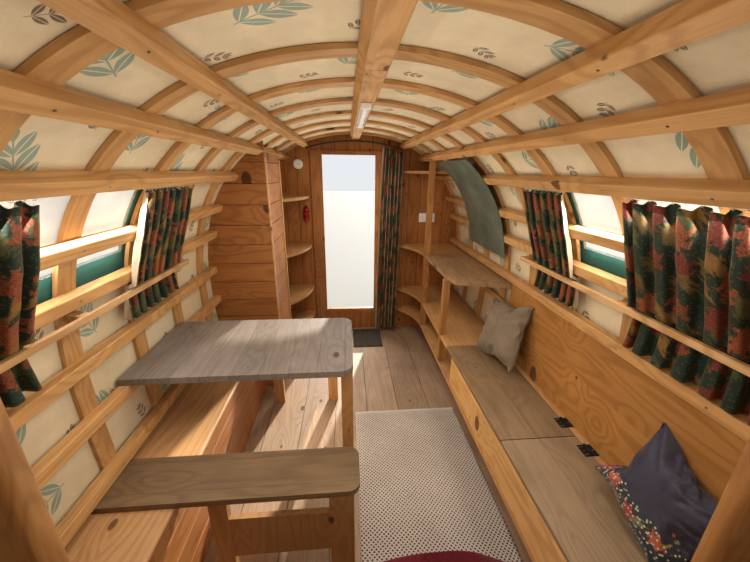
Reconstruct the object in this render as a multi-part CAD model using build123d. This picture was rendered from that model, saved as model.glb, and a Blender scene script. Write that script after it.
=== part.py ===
from build123d import *
from math import cos, radians, sin
import os

# Living cabin of a bow-top wagon, in millimetres.
# x is across the cabin, y runs towards the door, z is up. Inside this file z = 0 is the floor's top face
# and y = 0 the middle of the roof; the finished pieces are lifted so that z = 0 is under the sole bars.

# Driving sizes of the shell
ROOF_LENGTH = 4560
PORCH_DEPTH = 555
REAR_EAVE = 110
WALL = 22
CROWN_Z = 1907
LEDGE_TOP = 470
LEDGE_THICK = 22
WELL_HALF = 716
SIDE_THICK = 18
FLOOR_THICK = 22
BEARER_HIGH = 45
SOLE_HIGH = 90

# Bow of the roof, from the crown to the ledge on one side
# columns: radius of the ribs' inner face, angle from upright where that arc ends
BOW_ARCS = [
    (1336, 15.15),
    (864, 75.76),
    (1440, 90.0),
    (5000, 100.0),
]
RIB_WIDE = 72
RIB_THICK = 14
RIB_PITCH = 341
RIB_FIRST = 85
LINING_THICK = 5
COVER_THICK = 4
CROWN_BOARD = 18

FRONT_Y = ROOF_LENGTH / 2 - PORCH_DEPTH
REAR_Y = -ROOF_LENGTH / 2 + REAR_EAVE
ROOF_FRONT = ROOF_LENGTH / 2 - CROWN_BOARD
ROOF_REAR = -ROOF_LENGTH / 2 + CROWN_BOARD
LINING_IN = RIB_THICK
COVER_IN = LINING_IN + LINING_THICK
COVER_OUT = COVER_IN + COVER_THICK

# Roof bars: arc length from the crown to the upper edge, left depth and right depth off the ribs
PURLIN_WIDE = 46
PURLINS = [
    (421, 40, 40),
    (636, 40, 40),
    (865, 40, 40),
    (1100, 40, 40),
    (1280, 40, 40),
    (1530, 40, 40),
    (1740, 40, 15.4),
    (1970, 40, 0),
]
PURLIN_ROUND = 4
RIDGE_X = 10
RIDGE_TOP_HALF = 52
RIDGE_FOOT_HALF = 32
RIDGE_DEEP = 35.5
RIDGE_DROP = 1.5

# Doorway in the front wall
DOOR_LEFT = -295
DOOR_RIGHT = 190
DOOR_SILL = 235
DOOR_HEAD = 1740
JAMB = 33
CASING = 69
CASING_THICK = 14

# Right-hand bench and lockers
SHELF_FRONT = WELL_HALF - 125
SHELF_TOP = 250
BOARD = 22
PANEL = 18
LID_GAP = 2
BENCH_FAR = FRONT_Y - 1345
LID_FAR_END = FRONT_Y - 1245
LID_MEET = FRONT_Y - 2075
CHEEK_FRONT = FRONT_Y - 2717
CHEEK_THICK = 45
CHEEK_LEFT = -(WELL_HALF - 122)
CHEEK_RIGHT = WELL_HALF - 3
BACK_THICK = 12

# Kitchen and corner shelves
POST_WIDE = 44
POST_NEAR = FRONT_Y - 1082
POST_FAR = FRONT_Y - 475
WORKTOP_TOP = 920
WORKTOP_THICK = 28
WARDROBE_X = -(WELL_HALF - 131)
WARDROBE_FRONT = FRONT_Y - 965
WARDROBE_BACK = FRONT_Y - 505

# Table and seats on the left
TABLE_TOP = 800
TABLE_THICK = 28
TABLE_NEAR = FRONT_Y - 1988
TABLE_FAR = FRONT_Y - 1455
TABLE_AISLE = -60
SEAT_THICK = 24
SEAT_AISLE = -43
SEAT_NEAR = FRONT_Y - 2290
SEAT_DEEP = 205
SEAT_FAR = FRONT_Y - 1225

# Windows, as arc lengths from the crown and places along the roof
LINING_OPENING = (890, 1300)
PANEL_OPENING = (930, 1220)
WINDOW_FAR = FRONT_Y - 1555
WINDOW_NEAR = FRONT_Y - 2735
PANEL_FAR = FRONT_Y - 1845
PANEL_NEAR = FRONT_Y - 2625
PANEL_THICK = 3

CLEAR = 0.3
SWING_CLEAR = 5


def block(x0, x1, y0, y1, z0, z1):
    """A box between two values on each axis."""
    size = Box(x1 - x0, y1 - y0, z1 - z0, align=(Align.MIN, Align.MIN, Align.MIN))
    return Pos(x0, y0, z0) * size


def along(profile, y0, y1):
    """An x-z profile carried from y0 to y1."""
    return extrude(Plane.XZ.offset(-y1) * profile, y1 - y0)


def slab(outline, z0, z1):
    """An x-y outline raised from z0 to z1."""
    return extrude(Pos(0, 0, z0) * outline, z1 - z0)


def largest(shape):
    return shape.solids().sort_by(SortBy.VOLUME)[-1]


def bow_centres():
    """Centre x, centre z, radius, first angle and last angle of each arc on the right."""
    rows = []
    x, z, first = 0, CROWN_Z - BOW_ARCS[0][0], 0
    for index, (radius, last) in enumerate(BOW_ARCS):
        if index:
            step = BOW_ARCS[index - 1][0] - radius
            x += step * sin(radians(first))
            z += step * cos(radians(first))
        rows.append((x, z, radius, first, last))
        first = last
    return rows


BOW = bow_centres()


def bow_point(length, inset=0):
    """The point at an arc length from the crown, moved inward from the ribs' inner face."""
    for x, z, radius, first, last in BOW:
        span = radius * radians(last - first)
        if length <= span or last == BOW[-1][4]:
            angle = radians(first) + length / radius
            reach = radius - inset
            return x + reach * sin(angle), z + reach * cos(angle)
        length -= span


def bow_x(z_level, offset=0):
    """Half-width of the bow below its widest point, at a level."""
    x, z, radius = BOW[-1][:3]
    reach = radius + offset
    return x + (reach**2 - (z_level - z) ** 2) ** 0.5


# Half-width of the bow at the ledges, to the millimetre, which the ledges, lockers and seats follow
FOOT_X = round(bow_x(LEDGE_TOP))
LEDGE_OUT = FOOT_X + 62
LEDGE_JOINT = FOOT_X - 63
LID_HINGE_X = FOOT_X - 43
LOCKER_WALL_X = FOOT_X - 37
SEAT_WALL_X = -(FOOT_X - 18)


def bow_edges(offset, foot):
    """The arcs of the bow from one foot to the other, outside the ribs' inner face by the offset."""
    edges = []
    foot_x = bow_x(foot, offset)
    x, z, radius, first = BOW[-1][:4]
    dip = Vector(foot_x - x, foot - z).get_angle(Vector(1, 0))
    for side in (1, -1):
        for cx, cz, radius, first, last in BOW[1:]:
            last = 90 + dip if last > 90 else last
            start = 90 - last if side > 0 else 90 + first
            edges.append(CenterArc((side * cx, cz), radius + offset, start, last - first))
    x, z, radius, first, last = BOW[0]
    edges.append(CenterArc((0, z), radius + offset, 90 - last, 2 * last))
    return edges


def bow_area(offset, foot=LEDGE_TOP):
    """The whole area under the bow, closed along a level foot."""
    half = bow_x(foot, offset)
    return make_face(bow_edges(offset, foot) + [Line((-half, foot), (half, foot))])


def bow_band(inner, outer, foot=LEDGE_TOP):
    """The strip between two offsets of the bow, both ending on the foot."""
    feet = []
    for side in (-1, 1):
        near, far = side * bow_x(foot, inner), side * bow_x(foot, outer)
        feet.append(Line((near, foot), (far, foot)))
    return make_face(bow_edges(inner, foot) + bow_edges(outer, foot) + feet)


def mirrored(shape):
    return mirror(shape, about=Plane.YZ)


def bar_profile(start, wide, depth, inset=0):
    """A bar on the right of the roof: a rectangle whose outer face is a chord of the bow."""
    top, foot = Vector(*bow_point(start, inset)), Vector(*bow_point(start + wide, inset))
    along_chord = (foot - top).normalized()
    inward = Vector(along_chord.Y, -along_chord.X)
    corners = [top, foot, foot + inward * depth, top + inward * depth]
    return make_face(Polyline(*corners, close=True))


def purlins(side, rounding=PURLIN_ROUND):
    """The bars of one side from crown board to crown board, with eased inner edges."""
    bars = []
    for start, left, right in PURLINS:
        depth = left if side < 0 else right
        if depth == 0:
            continue
        bar = along(bar_profile(start, PURLIN_WIDE, depth), ROOF_REAR, ROOF_FRONT)
        if depth > 2 * rounding > 0:
            centre = Vector(0, 0, BOW[1][1])
            edges = bar.edges().filter_by(Axis.Y)
            edges = edges.sort_by(lambda e: (e.center() - centre - Vector(0, e.center().Y, 0)).length)
            bar = fillet(edges[:2], rounding)
        bars.append(bar if side > 0 else mirrored(bar))
    return bars


def ridge_profile():
    top = CROWN_Z - RIDGE_DROP
    corners = [
        (RIDGE_X - RIDGE_TOP_HALF, top),
        (RIDGE_X + RIDGE_TOP_HALF, top),
        (RIDGE_X + RIDGE_FOOT_HALF, top - RIDGE_DEEP),
        (RIDGE_X - RIDGE_FOOT_HALF, top - RIDGE_DEEP),
    ]
    return make_face(Polyline(*corners, close=True))


PURLINS_LEFT = purlins(-1)
PURLINS_RIGHT = purlins(1)
RIDGE = along(ridge_profile(), ROOF_REAR, ROOF_FRONT)
# The same bars left square, which cut their seats in boards and walls
SEATS_LEFT = purlins(-1, 0)
SEATS_RIGHT = purlins(1, 0)
ROOF_SEATS = SEATS_LEFT + SEATS_RIGHT + [RIDGE]


def notched(shape, cutters):
    for cutter in cutters:
        shape = shape - cutter
    return shape


# Chassis and floor
SOLE_X = 450
SOLE_WIDE = 90
SOLE_CHAMFER = 30
BOLT_HALF_Y = 1300
BOLT_R = 7
BEARER_WIDE = 60
BEARER_COUNT = 8
BOARD_GAP = 3
# Floor boards: width of the first at the left side, pitch of the others, least width of the last
FLOOR_FIRST = 96
FLOOR_PITCH = 222
FLOOR_LEAST = 60
SOLE_BOTTOM = -(FLOOR_THICK + BEARER_HIGH + SOLE_HIGH)
FLOOR_FRONT = ROOF_FRONT - 30
FLOOR_REAR = REAR_Y - WALL


def sole_bars():
    bars = []
    for side in (-1, 1):
        x = side * SOLE_X
        bar = block(x - SOLE_WIDE / 2, x + SOLE_WIDE / 2, FLOOR_REAR, FLOOR_FRONT,
                    SOLE_BOTTOM, SOLE_BOTTOM + SOLE_HIGH)
        ends = bar.edges().filter_by(Axis.X).group_by(Axis.Z)[0]
        bar = chamfer(ends, SOLE_CHAMFER)
        for y in (-BOLT_HALF_Y, BOLT_HALF_Y):
            hole = Cylinder(BOLT_R, SOLE_HIGH * 2)
            bar -= Pos(x, y, SOLE_BOTTOM + SOLE_HIGH / 2) * hole
        bars.append(bar)
    return bars


def cross_bearers():
    bars = []
    reach = WELL_HALF + SIDE_THICK
    pitch = (FLOOR_FRONT - FLOOR_REAR - BEARER_WIDE) / (BEARER_COUNT - 1)
    for index in range(BEARER_COUNT):
        y = FLOOR_REAR + index * pitch
        bars.append(block(-reach, reach, y, y + BEARER_WIDE, -FLOOR_THICK - BEARER_HIGH, -FLOOR_THICK))
    return bars


def floor_boards():
    boards = []
    edges = [-WELL_HALF]
    joint = -WELL_HALF + FLOOR_FIRST
    while joint < WELL_HALF - FLOOR_LEAST:
        edges.append(joint)
        joint += FLOOR_PITCH
    edges.append(WELL_HALF)
    for index, (left, right) in enumerate(zip(edges, edges[1:])):
        x0 = left + (BOARD_GAP / 2 if index else 0)
        x1 = right - (BOARD_GAP / 2 if right < WELL_HALF else 0)
        boards.append(block(x0, x1, FLOOR_REAR, FLOOR_FRONT, -FLOOR_THICK, 0))
    return boards


# Lower sides, ledges and their brackets
GROOVE = 4
SIDE_BOARD = 118
BATTEN = 12
BATTEN_HIGH = 30
NOSING = 10
BRACKET_THICK = 30
BRACKET_COUNT = 6
BRACKET_DROP = 220


def v_groove(start, end):
    """A square bar on edge between two points of a face, which cuts a V groove along it."""
    run = Vector(*end) - Vector(*start)
    side = GROOVE * 2**0.5
    return extrude(Plane(origin=start, z_dir=run) * Rectangle(side, side, rotation=45), run.length)


def lower_side(side, top):
    """A boarded side of the well, with a V groove at each board's edge on both faces."""
    x0, x1 = WELL_HALF, WELL_HALF + SIDE_THICK
    y0, y1 = FLOOR_REAR, FRONT_Y + WALL
    wall = block(x0, x1, y0, y1, -FLOOR_THICK, top)
    z = SIDE_BOARD
    while z < top - 2 * GROOVE:
        wall = notched(wall, [v_groove((x, y0, z), (x, y1, z)) for x in (x0, x1)])
        z += SIDE_BOARD
    return wall if side > 0 else mirrored(wall)


def cover_batten():
    """A strip that holds the foot of the cover down on the ledge."""
    x0 = bow_x(LEDGE_TOP + BATTEN_HIGH, COVER_OUT) + CLEAR
    return block(x0, x0 + BATTEN, ROOF_REAR, ROOF_FRONT, LEDGE_TOP, LEDGE_TOP + BATTEN_HIGH)


def ledge_left():
    """The ledge over the wheels, with a rounded nosing and a joint between its two boards."""
    nosing = -(WELL_HALF - 16)
    board = block(-LEDGE_OUT, nosing, ROOF_REAR, ROOF_FRONT, LEDGE_TOP - LEDGE_THICK, LEDGE_TOP)
    edges = board.edges().filter_by(Axis.Y).group_by(Axis.X)[-1]
    board = fillet(edges, NOSING)
    joint = v_groove((-LEDGE_JOINT, ROOF_REAR, LEDGE_TOP), (-LEDGE_JOINT, ROOF_FRONT, LEDGE_TOP))
    return board - joint + mirrored(cover_batten())


def ledge_right():
    """A strip behind the lids that widens under the bed and again out on the porch."""
    porch = FRONT_Y + WALL
    low = LEDGE_TOP - LEDGE_THICK
    strip = block(LID_HINGE_X, LEDGE_OUT, ROOF_REAR, porch, low, LEDGE_TOP)
    strip += block(SHELF_FRONT, LID_HINGE_X, REAR_Y, CHEEK_FRONT, low, LEDGE_TOP)
    strip += block(WELL_HALF - 16, LEDGE_OUT, porch, ROOF_FRONT, low, LEDGE_TOP)
    return strip + cover_batten()


def bracket(side, wall_x, top, drop):
    """A ledge bracket with a hollow curve between its two legs."""
    reach = LEDGE_OUT - 20
    profile = make_face(
        [
            Line((wall_x, top), (reach, top)),
            Line((reach, top), (reach, top - 25)),
            ThreePointArc((reach, top - 25), (wall_x + 0.42 * (reach - wall_x), top - 0.42 * drop),
                          (wall_x + 28, top - drop)),
            Line((wall_x + 28, top - drop), (wall_x, top - drop)),
            Line((wall_x, top - drop), (wall_x, top)),
        ]
    )
    solid = along(profile, -BRACKET_THICK / 2, BRACKET_THICK / 2)
    return solid if side > 0 else mirrored(solid)


def ledge_brackets():
    solids = []
    wall_x = WELL_HALF + SIDE_THICK
    pitch = (FRONT_Y - REAR_Y - 200) / (BRACKET_COUNT - 1)
    for index in range(BRACKET_COUNT):
        y = REAR_Y + 100 + index * pitch
        solids.append(Pos(0, y, 0) * bracket(-1, wall_x, LEDGE_TOP - LEDGE_THICK, BRACKET_DROP + 120))
        solids.append(Pos(0, y, 0) * bracket(1, wall_x, SHELF_TOP - BOARD, BRACKET_DROP))
    return solids


def porch_brackets():
    """Curved boards that carry the ledges past the front wall."""
    y0, y1 = FRONT_Y + WALL, ROOF_FRONT - 40
    top = LEDGE_TOP - LEDGE_THICK
    drop = top + FLOOR_THICK
    outline = make_face(
        [
            Line((y0, top), (y1, top)),
            Line((y1, top), (y1, top - 60)),
            ThreePointArc((y1, top - 60), (y0 + 0.45 * (y1 - y0), top - 0.5 * drop), (y0 + 70, top - drop)),
            Line((y0 + 70, top - drop), (y0, top - drop)),
            Line((y0, top - drop), (y0, top)),
        ]
    )
    solid = extrude(Plane.YZ.offset(WELL_HALF) * outline, SIDE_THICK)
    return [solid, mirrored(solid)]


# Roof skin
SCARFS = [FRONT_Y - 2125, FRONT_Y - 1675]
SCARF_LINE = 2
SCARF_CORE = 30


def bow_ribs():
    ribs = []
    hoop = bow_band(0, RIB_THICK)
    count = int((FRONT_Y - RIB_FIRST - REAR_Y) // RIB_PITCH) + 1
    places = [FRONT_Y - RIB_FIRST - index * RIB_PITCH for index in range(-1, count)]
    places.append(ROOF_FRONT - RIB_WIDE / 2)
    for y in places:
        ribs.append(along(hoop, y - RIB_WIDE / 2, y + RIB_WIDE / 2))
    return ribs


def ridge_beam():
    """The ridge in one, with a fine slanting line where each pair of lengths is scarfed."""
    slant = RIDGE_DEEP * 3
    beam = RIDGE
    low, high = CROWN_Z - RIDGE_DROP - RIDGE_DEEP, CROWN_Z - RIDGE_DROP
    for y in SCARFS:
        line = Polyline((y, low - 1), (y + SCARF_LINE, low - 1), (y + slant + SCARF_LINE, high + 1),
                        (y + slant, high + 1), close=True)
        cut = extrude(Plane.YZ.offset(RIDGE_X - RIDGE_TOP_HALF) * make_face(line), 2 * RIDGE_TOP_HALF)
        core = block(RIDGE_X - SCARF_CORE, RIDGE_X + SCARF_CORE, y - slant, y + 2 * slant, low + 2, high)
        beam -= cut - core
    return beam


def window_cutter(side, lengths, y0, y1):
    """A wedge through lining and cover between two arc lengths."""
    (s0, s1) = lengths
    corners = [bow_point(s0, 40), bow_point(s0, -90), bow_point(s1, -90), bow_point(s1, 40)]
    solid = along(make_face(Polyline(*corners, close=True)), y0, y1)
    return solid if side > 0 else mirrored(solid)


def lining():
    skin = along(bow_band(LINING_IN, COVER_IN), ROOF_REAR, ROOF_FRONT)
    for side in (-1, 1):
        skin -= window_cutter(side, LINING_OPENING, WINDOW_NEAR, WINDOW_FAR)
    return skin


def canvas_cover():
    skin = along(bow_band(COVER_IN, COVER_OUT), ROOF_REAR, ROOF_FRONT)
    for side in (-1, 1):
        skin -= window_cutter(side, PANEL_OPENING, PANEL_NEAR, PANEL_FAR)
    return skin


def window_panels():
    skin = along(bow_band(COVER_IN, COVER_IN + PANEL_THICK), PANEL_NEAR, PANEL_FAR)
    panels = []
    for side in (-1, 1):
        panels.append(skin & window_cutter(side, PANEL_OPENING, PANEL_NEAR, PANEL_FAR))
    return panels


def crown_boards():
    arch = bow_band(-55, COVER_OUT + 4)
    front = along(arch, ROOF_FRONT, ROOF_FRONT + CROWN_BOARD)
    return [front, along(arch, ROOF_REAR - CROWN_BOARD, ROOF_REAR)]


# End walls
SASH_HALF = 320
SASH_LOW = 960
SASH_HIGH = 1480
SASH = 40
GLASS = 4
# Boards of the end walls, upright, and of the wardrobe, level: pitch and first joint
END_PLANK = 115
END_PLANK_FIRST = 50
WARDROBE_PLANK = 131
WARDROBE_PLANK_FIRST = 76


def end_wall(y0):
    """A boarded end: the bow above the ledges and the well between them below."""
    wall = along(bow_area(LINING_IN), y0, y0 + WALL)
    wall += block(-WELL_HALF, WELL_HALF, y0, y0 + WALL, 0, LEDGE_TOP)
    wall += block(WELL_HALF + SIDE_THICK, LOCKER_WALL_X, y0, y0 + WALL, SHELF_TOP, LEDGE_TOP)
    joints = []
    x = END_PLANK_FIRST - END_PLANK * (FOOT_X // END_PLANK)
    while x < FOOT_X:
        foot = 0 if abs(x) < WELL_HALF - GROOVE else LEDGE_TOP
        joints += [v_groove((x, y, foot), (x, y, CROWN_Z)) for y in (y0, y0 + WALL)]
        x += END_PLANK
    return notched(wall, ROOF_SEATS + [ledge_left(), ledge_right()] + joints)


def front_wall():
    wall = end_wall(FRONT_Y)
    return wall - block(DOOR_LEFT - JAMB, DOOR_RIGHT + JAMB, FRONT_Y - 1, FRONT_Y + WALL + 1,
                        DOOR_SILL - JAMB, DOOR_HEAD + JAMB)


def door_frame():
    """Jambs, head and threshold through the wall, with a flat casing on the inside."""
    y0, y1 = FRONT_Y - CASING_THICK, FRONT_Y + WALL
    low = DOOR_SILL
    ring = block(DOOR_LEFT - JAMB, DOOR_RIGHT + JAMB, y0, y1, low, DOOR_HEAD + JAMB)
    ring -= block(DOOR_LEFT, DOOR_RIGHT, y0, y1, low, DOOR_HEAD)
    for side, edge in ((-1, DOOR_LEFT - JAMB), (1, DOOR_RIGHT + JAMB)):
        x0, x1 = sorted((edge, edge + side * CASING))
        ring += block(x0, x1, y0, FRONT_Y, 0, DOOR_HEAD + JAMB)
    return ring + block(DOOR_LEFT - JAMB, DOOR_RIGHT + JAMB, y0, y1, low - JAMB, low)


def rear_wall():
    wall = end_wall(REAR_Y - WALL)
    return wall - block(-SASH_HALF, SASH_HALF, REAR_Y - WALL, REAR_Y, SASH_LOW, SASH_HIGH)


def rear_sash():
    """Window frame with one middle bar."""
    y0, y1 = REAR_Y - WALL, REAR_Y
    frame = block(-SASH_HALF, SASH_HALF, y0, y1, SASH_LOW, SASH_HIGH)
    bar = SASH / 2
    for x0, x1 in ((-SASH_HALF + SASH, -bar / 2), (bar / 2, SASH_HALF - SASH)):
        frame -= block(x0, x1, y0, y1, SASH_LOW + SASH, SASH_HIGH - SASH)
    return frame


def rear_glass():
    panes = []
    middle = REAR_Y - WALL / 2
    bar = SASH / 2
    for x0, x1 in ((-SASH_HALF + SASH, -bar / 2), (bar / 2, SASH_HALF - SASH)):
        panes.append(block(x0, x1, middle - GLASS / 2, middle + GLASS / 2, SASH_LOW + SASH, SASH_HIGH - SASH))
    return panes


# Wardrobe and left corner shelves
def wardrobe_joints():
    """Heights of the joints between the wardrobe's level boards."""
    count = int((CROWN_Z - WARDROBE_PLANK_FIRST) // WARDROBE_PLANK)
    return [WARDROBE_PLANK_FIRST + index * WARDROBE_PLANK for index in range(count)]


def wardrobe_panel(y0):
    """A panel across the cabin from the aisle to the lining, cut round the ledge and the bars."""
    panel = along(bow_area(LINING_IN), y0, y0 + PANEL)
    panel += block(-WELL_HALF, WARDROBE_X, y0, y0 + PANEL, 0, LEDGE_TOP)
    panel &= block(-LEDGE_OUT, WARDROBE_X, y0, y0 + PANEL, 0, CROWN_Z)
    joints = [v_groove((-LEDGE_OUT, y0, z), (WARDROBE_X, y0, z)) for z in wardrobe_joints()]
    return largest(notched(panel, ROOF_SEATS + [ledge_left()] + joints))


def wardrobe_side():
    """The panel along the aisle, in one with the closed back."""
    y0, y1 = WARDROBE_FRONT + PANEL, WARDROBE_BACK - PANEL
    side = block(WARDROBE_X - PANEL, WARDROBE_X, y0, y1, 0, CROWN_Z)
    side &= along(bow_area(0, foot=LEDGE_TOP), y0, y1) + block(WARDROBE_X - PANEL, 0, y0, y1, 0, LEDGE_TOP)
    joints = [v_groove((WARDROBE_X, y0, z), (WARDROBE_X, y1, z)) for z in wardrobe_joints()]
    return largest(notched(side, ROOF_SEATS + joints)) + wardrobe_panel(y1)


STILE_THICK = 8
STILE_WIDE = 22


def wardrobe_stiles():
    """Pale edge strips on the aisle side, one at each end of the side panel."""
    top = bow_point(PURLINS[1][0] + PURLIN_WIDE, PURLINS[1][1])[1] - STILE_THICK
    stiles = []
    for y0 in (WARDROBE_FRONT, WARDROBE_BACK - STILE_WIDE):
        stiles.append(block(WARDROBE_X, WARDROBE_X + STILE_THICK, y0, y0 + STILE_WIDE, 0, top))
    return stiles


# Tops of the shelves in the left corner
SHELF_LEVELS_LEFT = [220, 507, 931, 1386]
# Tops of the shelves in the right corner
SHELF_LEVELS_RIGHT = [SHELF_TOP, LEDGE_TOP, WORKTOP_TOP, 1610]
LEFT_SHELF_WALL_X = DOOR_LEFT - JAMB - CASING - 15
RIGHT_SHELF_WALL_X = DOOR_RIGHT + JAMB + CASING + 60


def corner_shelves(levels, outline):
    """Shelves with a rounded front, each scribed to the lining, the bars and the well's side."""
    shelves = []
    for top in levels:
        shelf = slab(outline, top - BOARD, top)
        y0, y1 = WARDROBE_BACK, FRONT_Y
        if top > LEDGE_TOP:
            shelf &= along(bow_area(0), y0, y1)
        else:
            reach = WELL_HALF if top <= SHELF_TOP else LID_HINGE_X
            shelf &= block(-WELL_HALF, reach, y0, y1, 0, LEDGE_TOP)
        shelves.append(largest(notched(shelf, ROOF_SEATS + [ledge_left()] + counter_posts())))
    return shelves


def left_corner_outline():
    y0, y1 = WARDROBE_BACK, FRONT_Y
    return make_face(
        [
            ThreePointArc((WARDROBE_X, y0), (LEFT_SHELF_WALL_X - 50, y0 + 205),
                          (LEFT_SHELF_WALL_X, y1 - CASING_THICK)),
            Line((LEFT_SHELF_WALL_X, y1 - CASING_THICK), (LEFT_SHELF_WALL_X, y1)),
            Line((LEFT_SHELF_WALL_X, y1), (-LEDGE_OUT, y1)),
            Line((-LEDGE_OUT, y1), (-LEDGE_OUT, y0)),
            Line((-LEDGE_OUT, y0), (WARDROBE_X, y0)),
        ]
    )


def right_corner_outline():
    y0, y1 = POST_FAR + POST_WIDE, FRONT_Y
    return make_face(
        [
            ThreePointArc((SHELF_FRONT, y0), (SHELF_FRONT - 71, y0 + 241), (RIGHT_SHELF_WALL_X, y1)),
            Line((RIGHT_SHELF_WALL_X, y1), (LEDGE_OUT, y1)),
            Line((LEDGE_OUT, y1), (LEDGE_OUT, y0)),
            Line((LEDGE_OUT, y0), (SHELF_FRONT, y0)),
        ]
    )


# Kitchen
def counter_posts():
    near = block(SHELF_FRONT, SHELF_FRONT + POST_WIDE, POST_NEAR, POST_NEAR + POST_WIDE,
                 SHELF_TOP, WORKTOP_TOP - WORKTOP_THICK)
    y0, y1 = POST_FAR, POST_FAR + POST_WIDE
    far = block(SHELF_FRONT, SHELF_FRONT + POST_WIDE, y0, y1, SHELF_TOP, CROWN_Z)
    far &= along(bow_area(0), y0, y1) + block(SHELF_FRONT, LEDGE_OUT, y0, y1, 0, LEDGE_TOP)
    return [near, largest(notched(far, SEATS_RIGHT))]


def worktop():
    """The counter, with its near corner cut back to the bench."""
    far = POST_FAR + POST_WIDE
    corners = [
        (SHELF_FRONT, far),
        (SHELF_FRONT + 16, POST_NEAR + 31),
        (SHELF_FRONT + 38, POST_NEAR - 103),
        (LEDGE_OUT - 85, POST_NEAR - 193),
        (LEDGE_OUT, POST_NEAR - 193),
        (LEDGE_OUT, far),
    ]
    top = slab(make_face(Polyline(*corners, close=True)), WORKTOP_TOP - WORKTOP_THICK, WORKTOP_TOP)
    edges = top.edges().filter_by(Axis.Z).sort_by(Axis.X)
    top = fillet(edges[1:3], 30)
    top &= along(bow_area(0), POST_NEAR - 200, far)
    return largest(notched(top, [counter_posts()[1]] + SEATS_RIGHT))


def counter_shelf():
    shelf = block(SHELF_FRONT, LID_HINGE_X, LID_FAR_END + LID_GAP, POST_FAR + POST_WIDE,
                  LEDGE_TOP - BOARD, LEDGE_TOP)
    return notched(shelf, counter_posts())


def base_shelf():
    """The locker floor, from the rear wall to the front one."""
    y0, y1 = FLOOR_REAR, POST_FAR + POST_WIDE
    board = block(SHELF_FRONT, LOCKER_WALL_X + PANEL, REAR_Y, y1, SHELF_TOP - BOARD, SHELF_TOP)
    board += block(WELL_HALF, LOCKER_WALL_X + PANEL, y0, FRONT_Y + WALL, SHELF_TOP - BOARD, SHELF_TOP)
    return board


def locker_wall():
    return block(LOCKER_WALL_X, LOCKER_WALL_X + PANEL, FLOOR_REAR, FRONT_Y + WALL,
                 SHELF_TOP, LEDGE_TOP - LEDGE_THICK)


HEAT_FROM = 700
HEAT_TO = 1435
HEAT_THICK = 3
HEAT_NEAR = FRONT_Y - 1175
HEAT_FAR = FRONT_Y - 555


def heat_shield():
    """Bent sheet on the inner faces of the bars beside the counter."""
    inset = PURLINS[2][1] + 2 * CLEAR
    x0, z0 = bow_point(HEAT_FROM, inset)
    x1, z1 = bow_point(HEAT_TO, inset)
    band = bow_band(-inset - HEAT_THICK, -inset)
    sheet = along(band, HEAT_NEAR, HEAT_FAR) & block(0, LEDGE_OUT, HEAT_NEAR, HEAT_FAR, z1, z0)
    return largest(sheet)


# Bench, lockers and lids on the right
FRONT_SET_BACK = 6


def bench_front():
    x0 = SHELF_FRONT + FRONT_SET_BACK
    return block(x0, x0 + PANEL, REAR_Y, BENCH_FAR, SHELF_TOP, LEDGE_TOP - BOARD - CLEAR)


def bench_ends():
    """Upright boards that close and part the lockers."""
    x0, x1 = SHELF_FRONT + FRONT_SET_BACK + PANEL, LOCKER_WALL_X
    ends = []
    for y in (BENCH_FAR - PANEL, LID_MEET - PANEL / 2, CHEEK_FRONT - PANEL):
        ends.append(block(x0, x1, y, y + PANEL, SHELF_TOP, LEDGE_TOP - BOARD - CLEAR))
    return ends


def bench_back():
    """Wide board behind the bench, standing on the ledge and held at the top by a roof bar."""
    x1 = bow_x(LEDGE_TOP) - CLEAR
    top = bow_point(PURLINS[5][0] + PURLIN_WIDE, 20)[1] + 6
    y0, y1 = CHEEK_FRONT, POST_NEAR - 193
    board = block(x1 - BACK_THICK, x1, y0, y1, LEDGE_TOP, top) & along(bow_area(0), y0, y1)
    return largest(notched(board, SEATS_RIGHT))


KNUCKLE_R = 5
PIN_R = 2.5
PIN_CLEAR = 0.2
LEAF_THICK = 2.5
LEAF_LONG = 60
HINGE_Z = LEDGE_TOP + KNUCKLE_R + 0.5
LEAF_FIXED = 28
LEAF_LID = 34
# Lids: name, near end, far end
LIDS = [
    ("near", CHEEK_FRONT + SWING_CLEAR, LID_MEET - SWING_CLEAR / 2),
    ("far", LID_MEET + SWING_CLEAR / 2, LID_FAR_END - SWING_CLEAR),
]


def hinge_places(y0, y1):
    return [y0 + 80, y1 - 80]


def lid(y0, y1):
    board = block(SHELF_FRONT, LID_HINGE_X - LID_GAP, y0, y1, LEDGE_TOP - BOARD, LEDGE_TOP)
    edges = board.edges().group_by(Axis.X)[0].filter_by(Axis.Y)
    return fillet(edges, 5)


def barrel(y, length, radius):
    return Pos(LID_HINGE_X, y, HINGE_Z) * Rot(90, 0, 0) * Cylinder(radius, length)


def lid_leaf(y):
    """The moving leaf with its two outer knuckles."""
    third = LEAF_LONG / 3
    leaf = block(LID_HINGE_X - LEAF_LID, LID_HINGE_X, y - LEAF_LONG / 2, y + LEAF_LONG / 2,
                 LEDGE_TOP, LEDGE_TOP + LEAF_THICK)
    leaf -= block(LID_HINGE_X - KNUCKLE_R - 1, LID_HINGE_X, y - third / 2 - PIN_CLEAR, y + third / 2 + PIN_CLEAR,
                  LEDGE_TOP, LEDGE_TOP + LEAF_THICK)
    for offset in (-third, third):
        leaf += barrel(y + offset, third, KNUCKLE_R)
    return leaf - barrel(y, 2 * LEAF_LONG, PIN_R + PIN_CLEAR)


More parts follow.
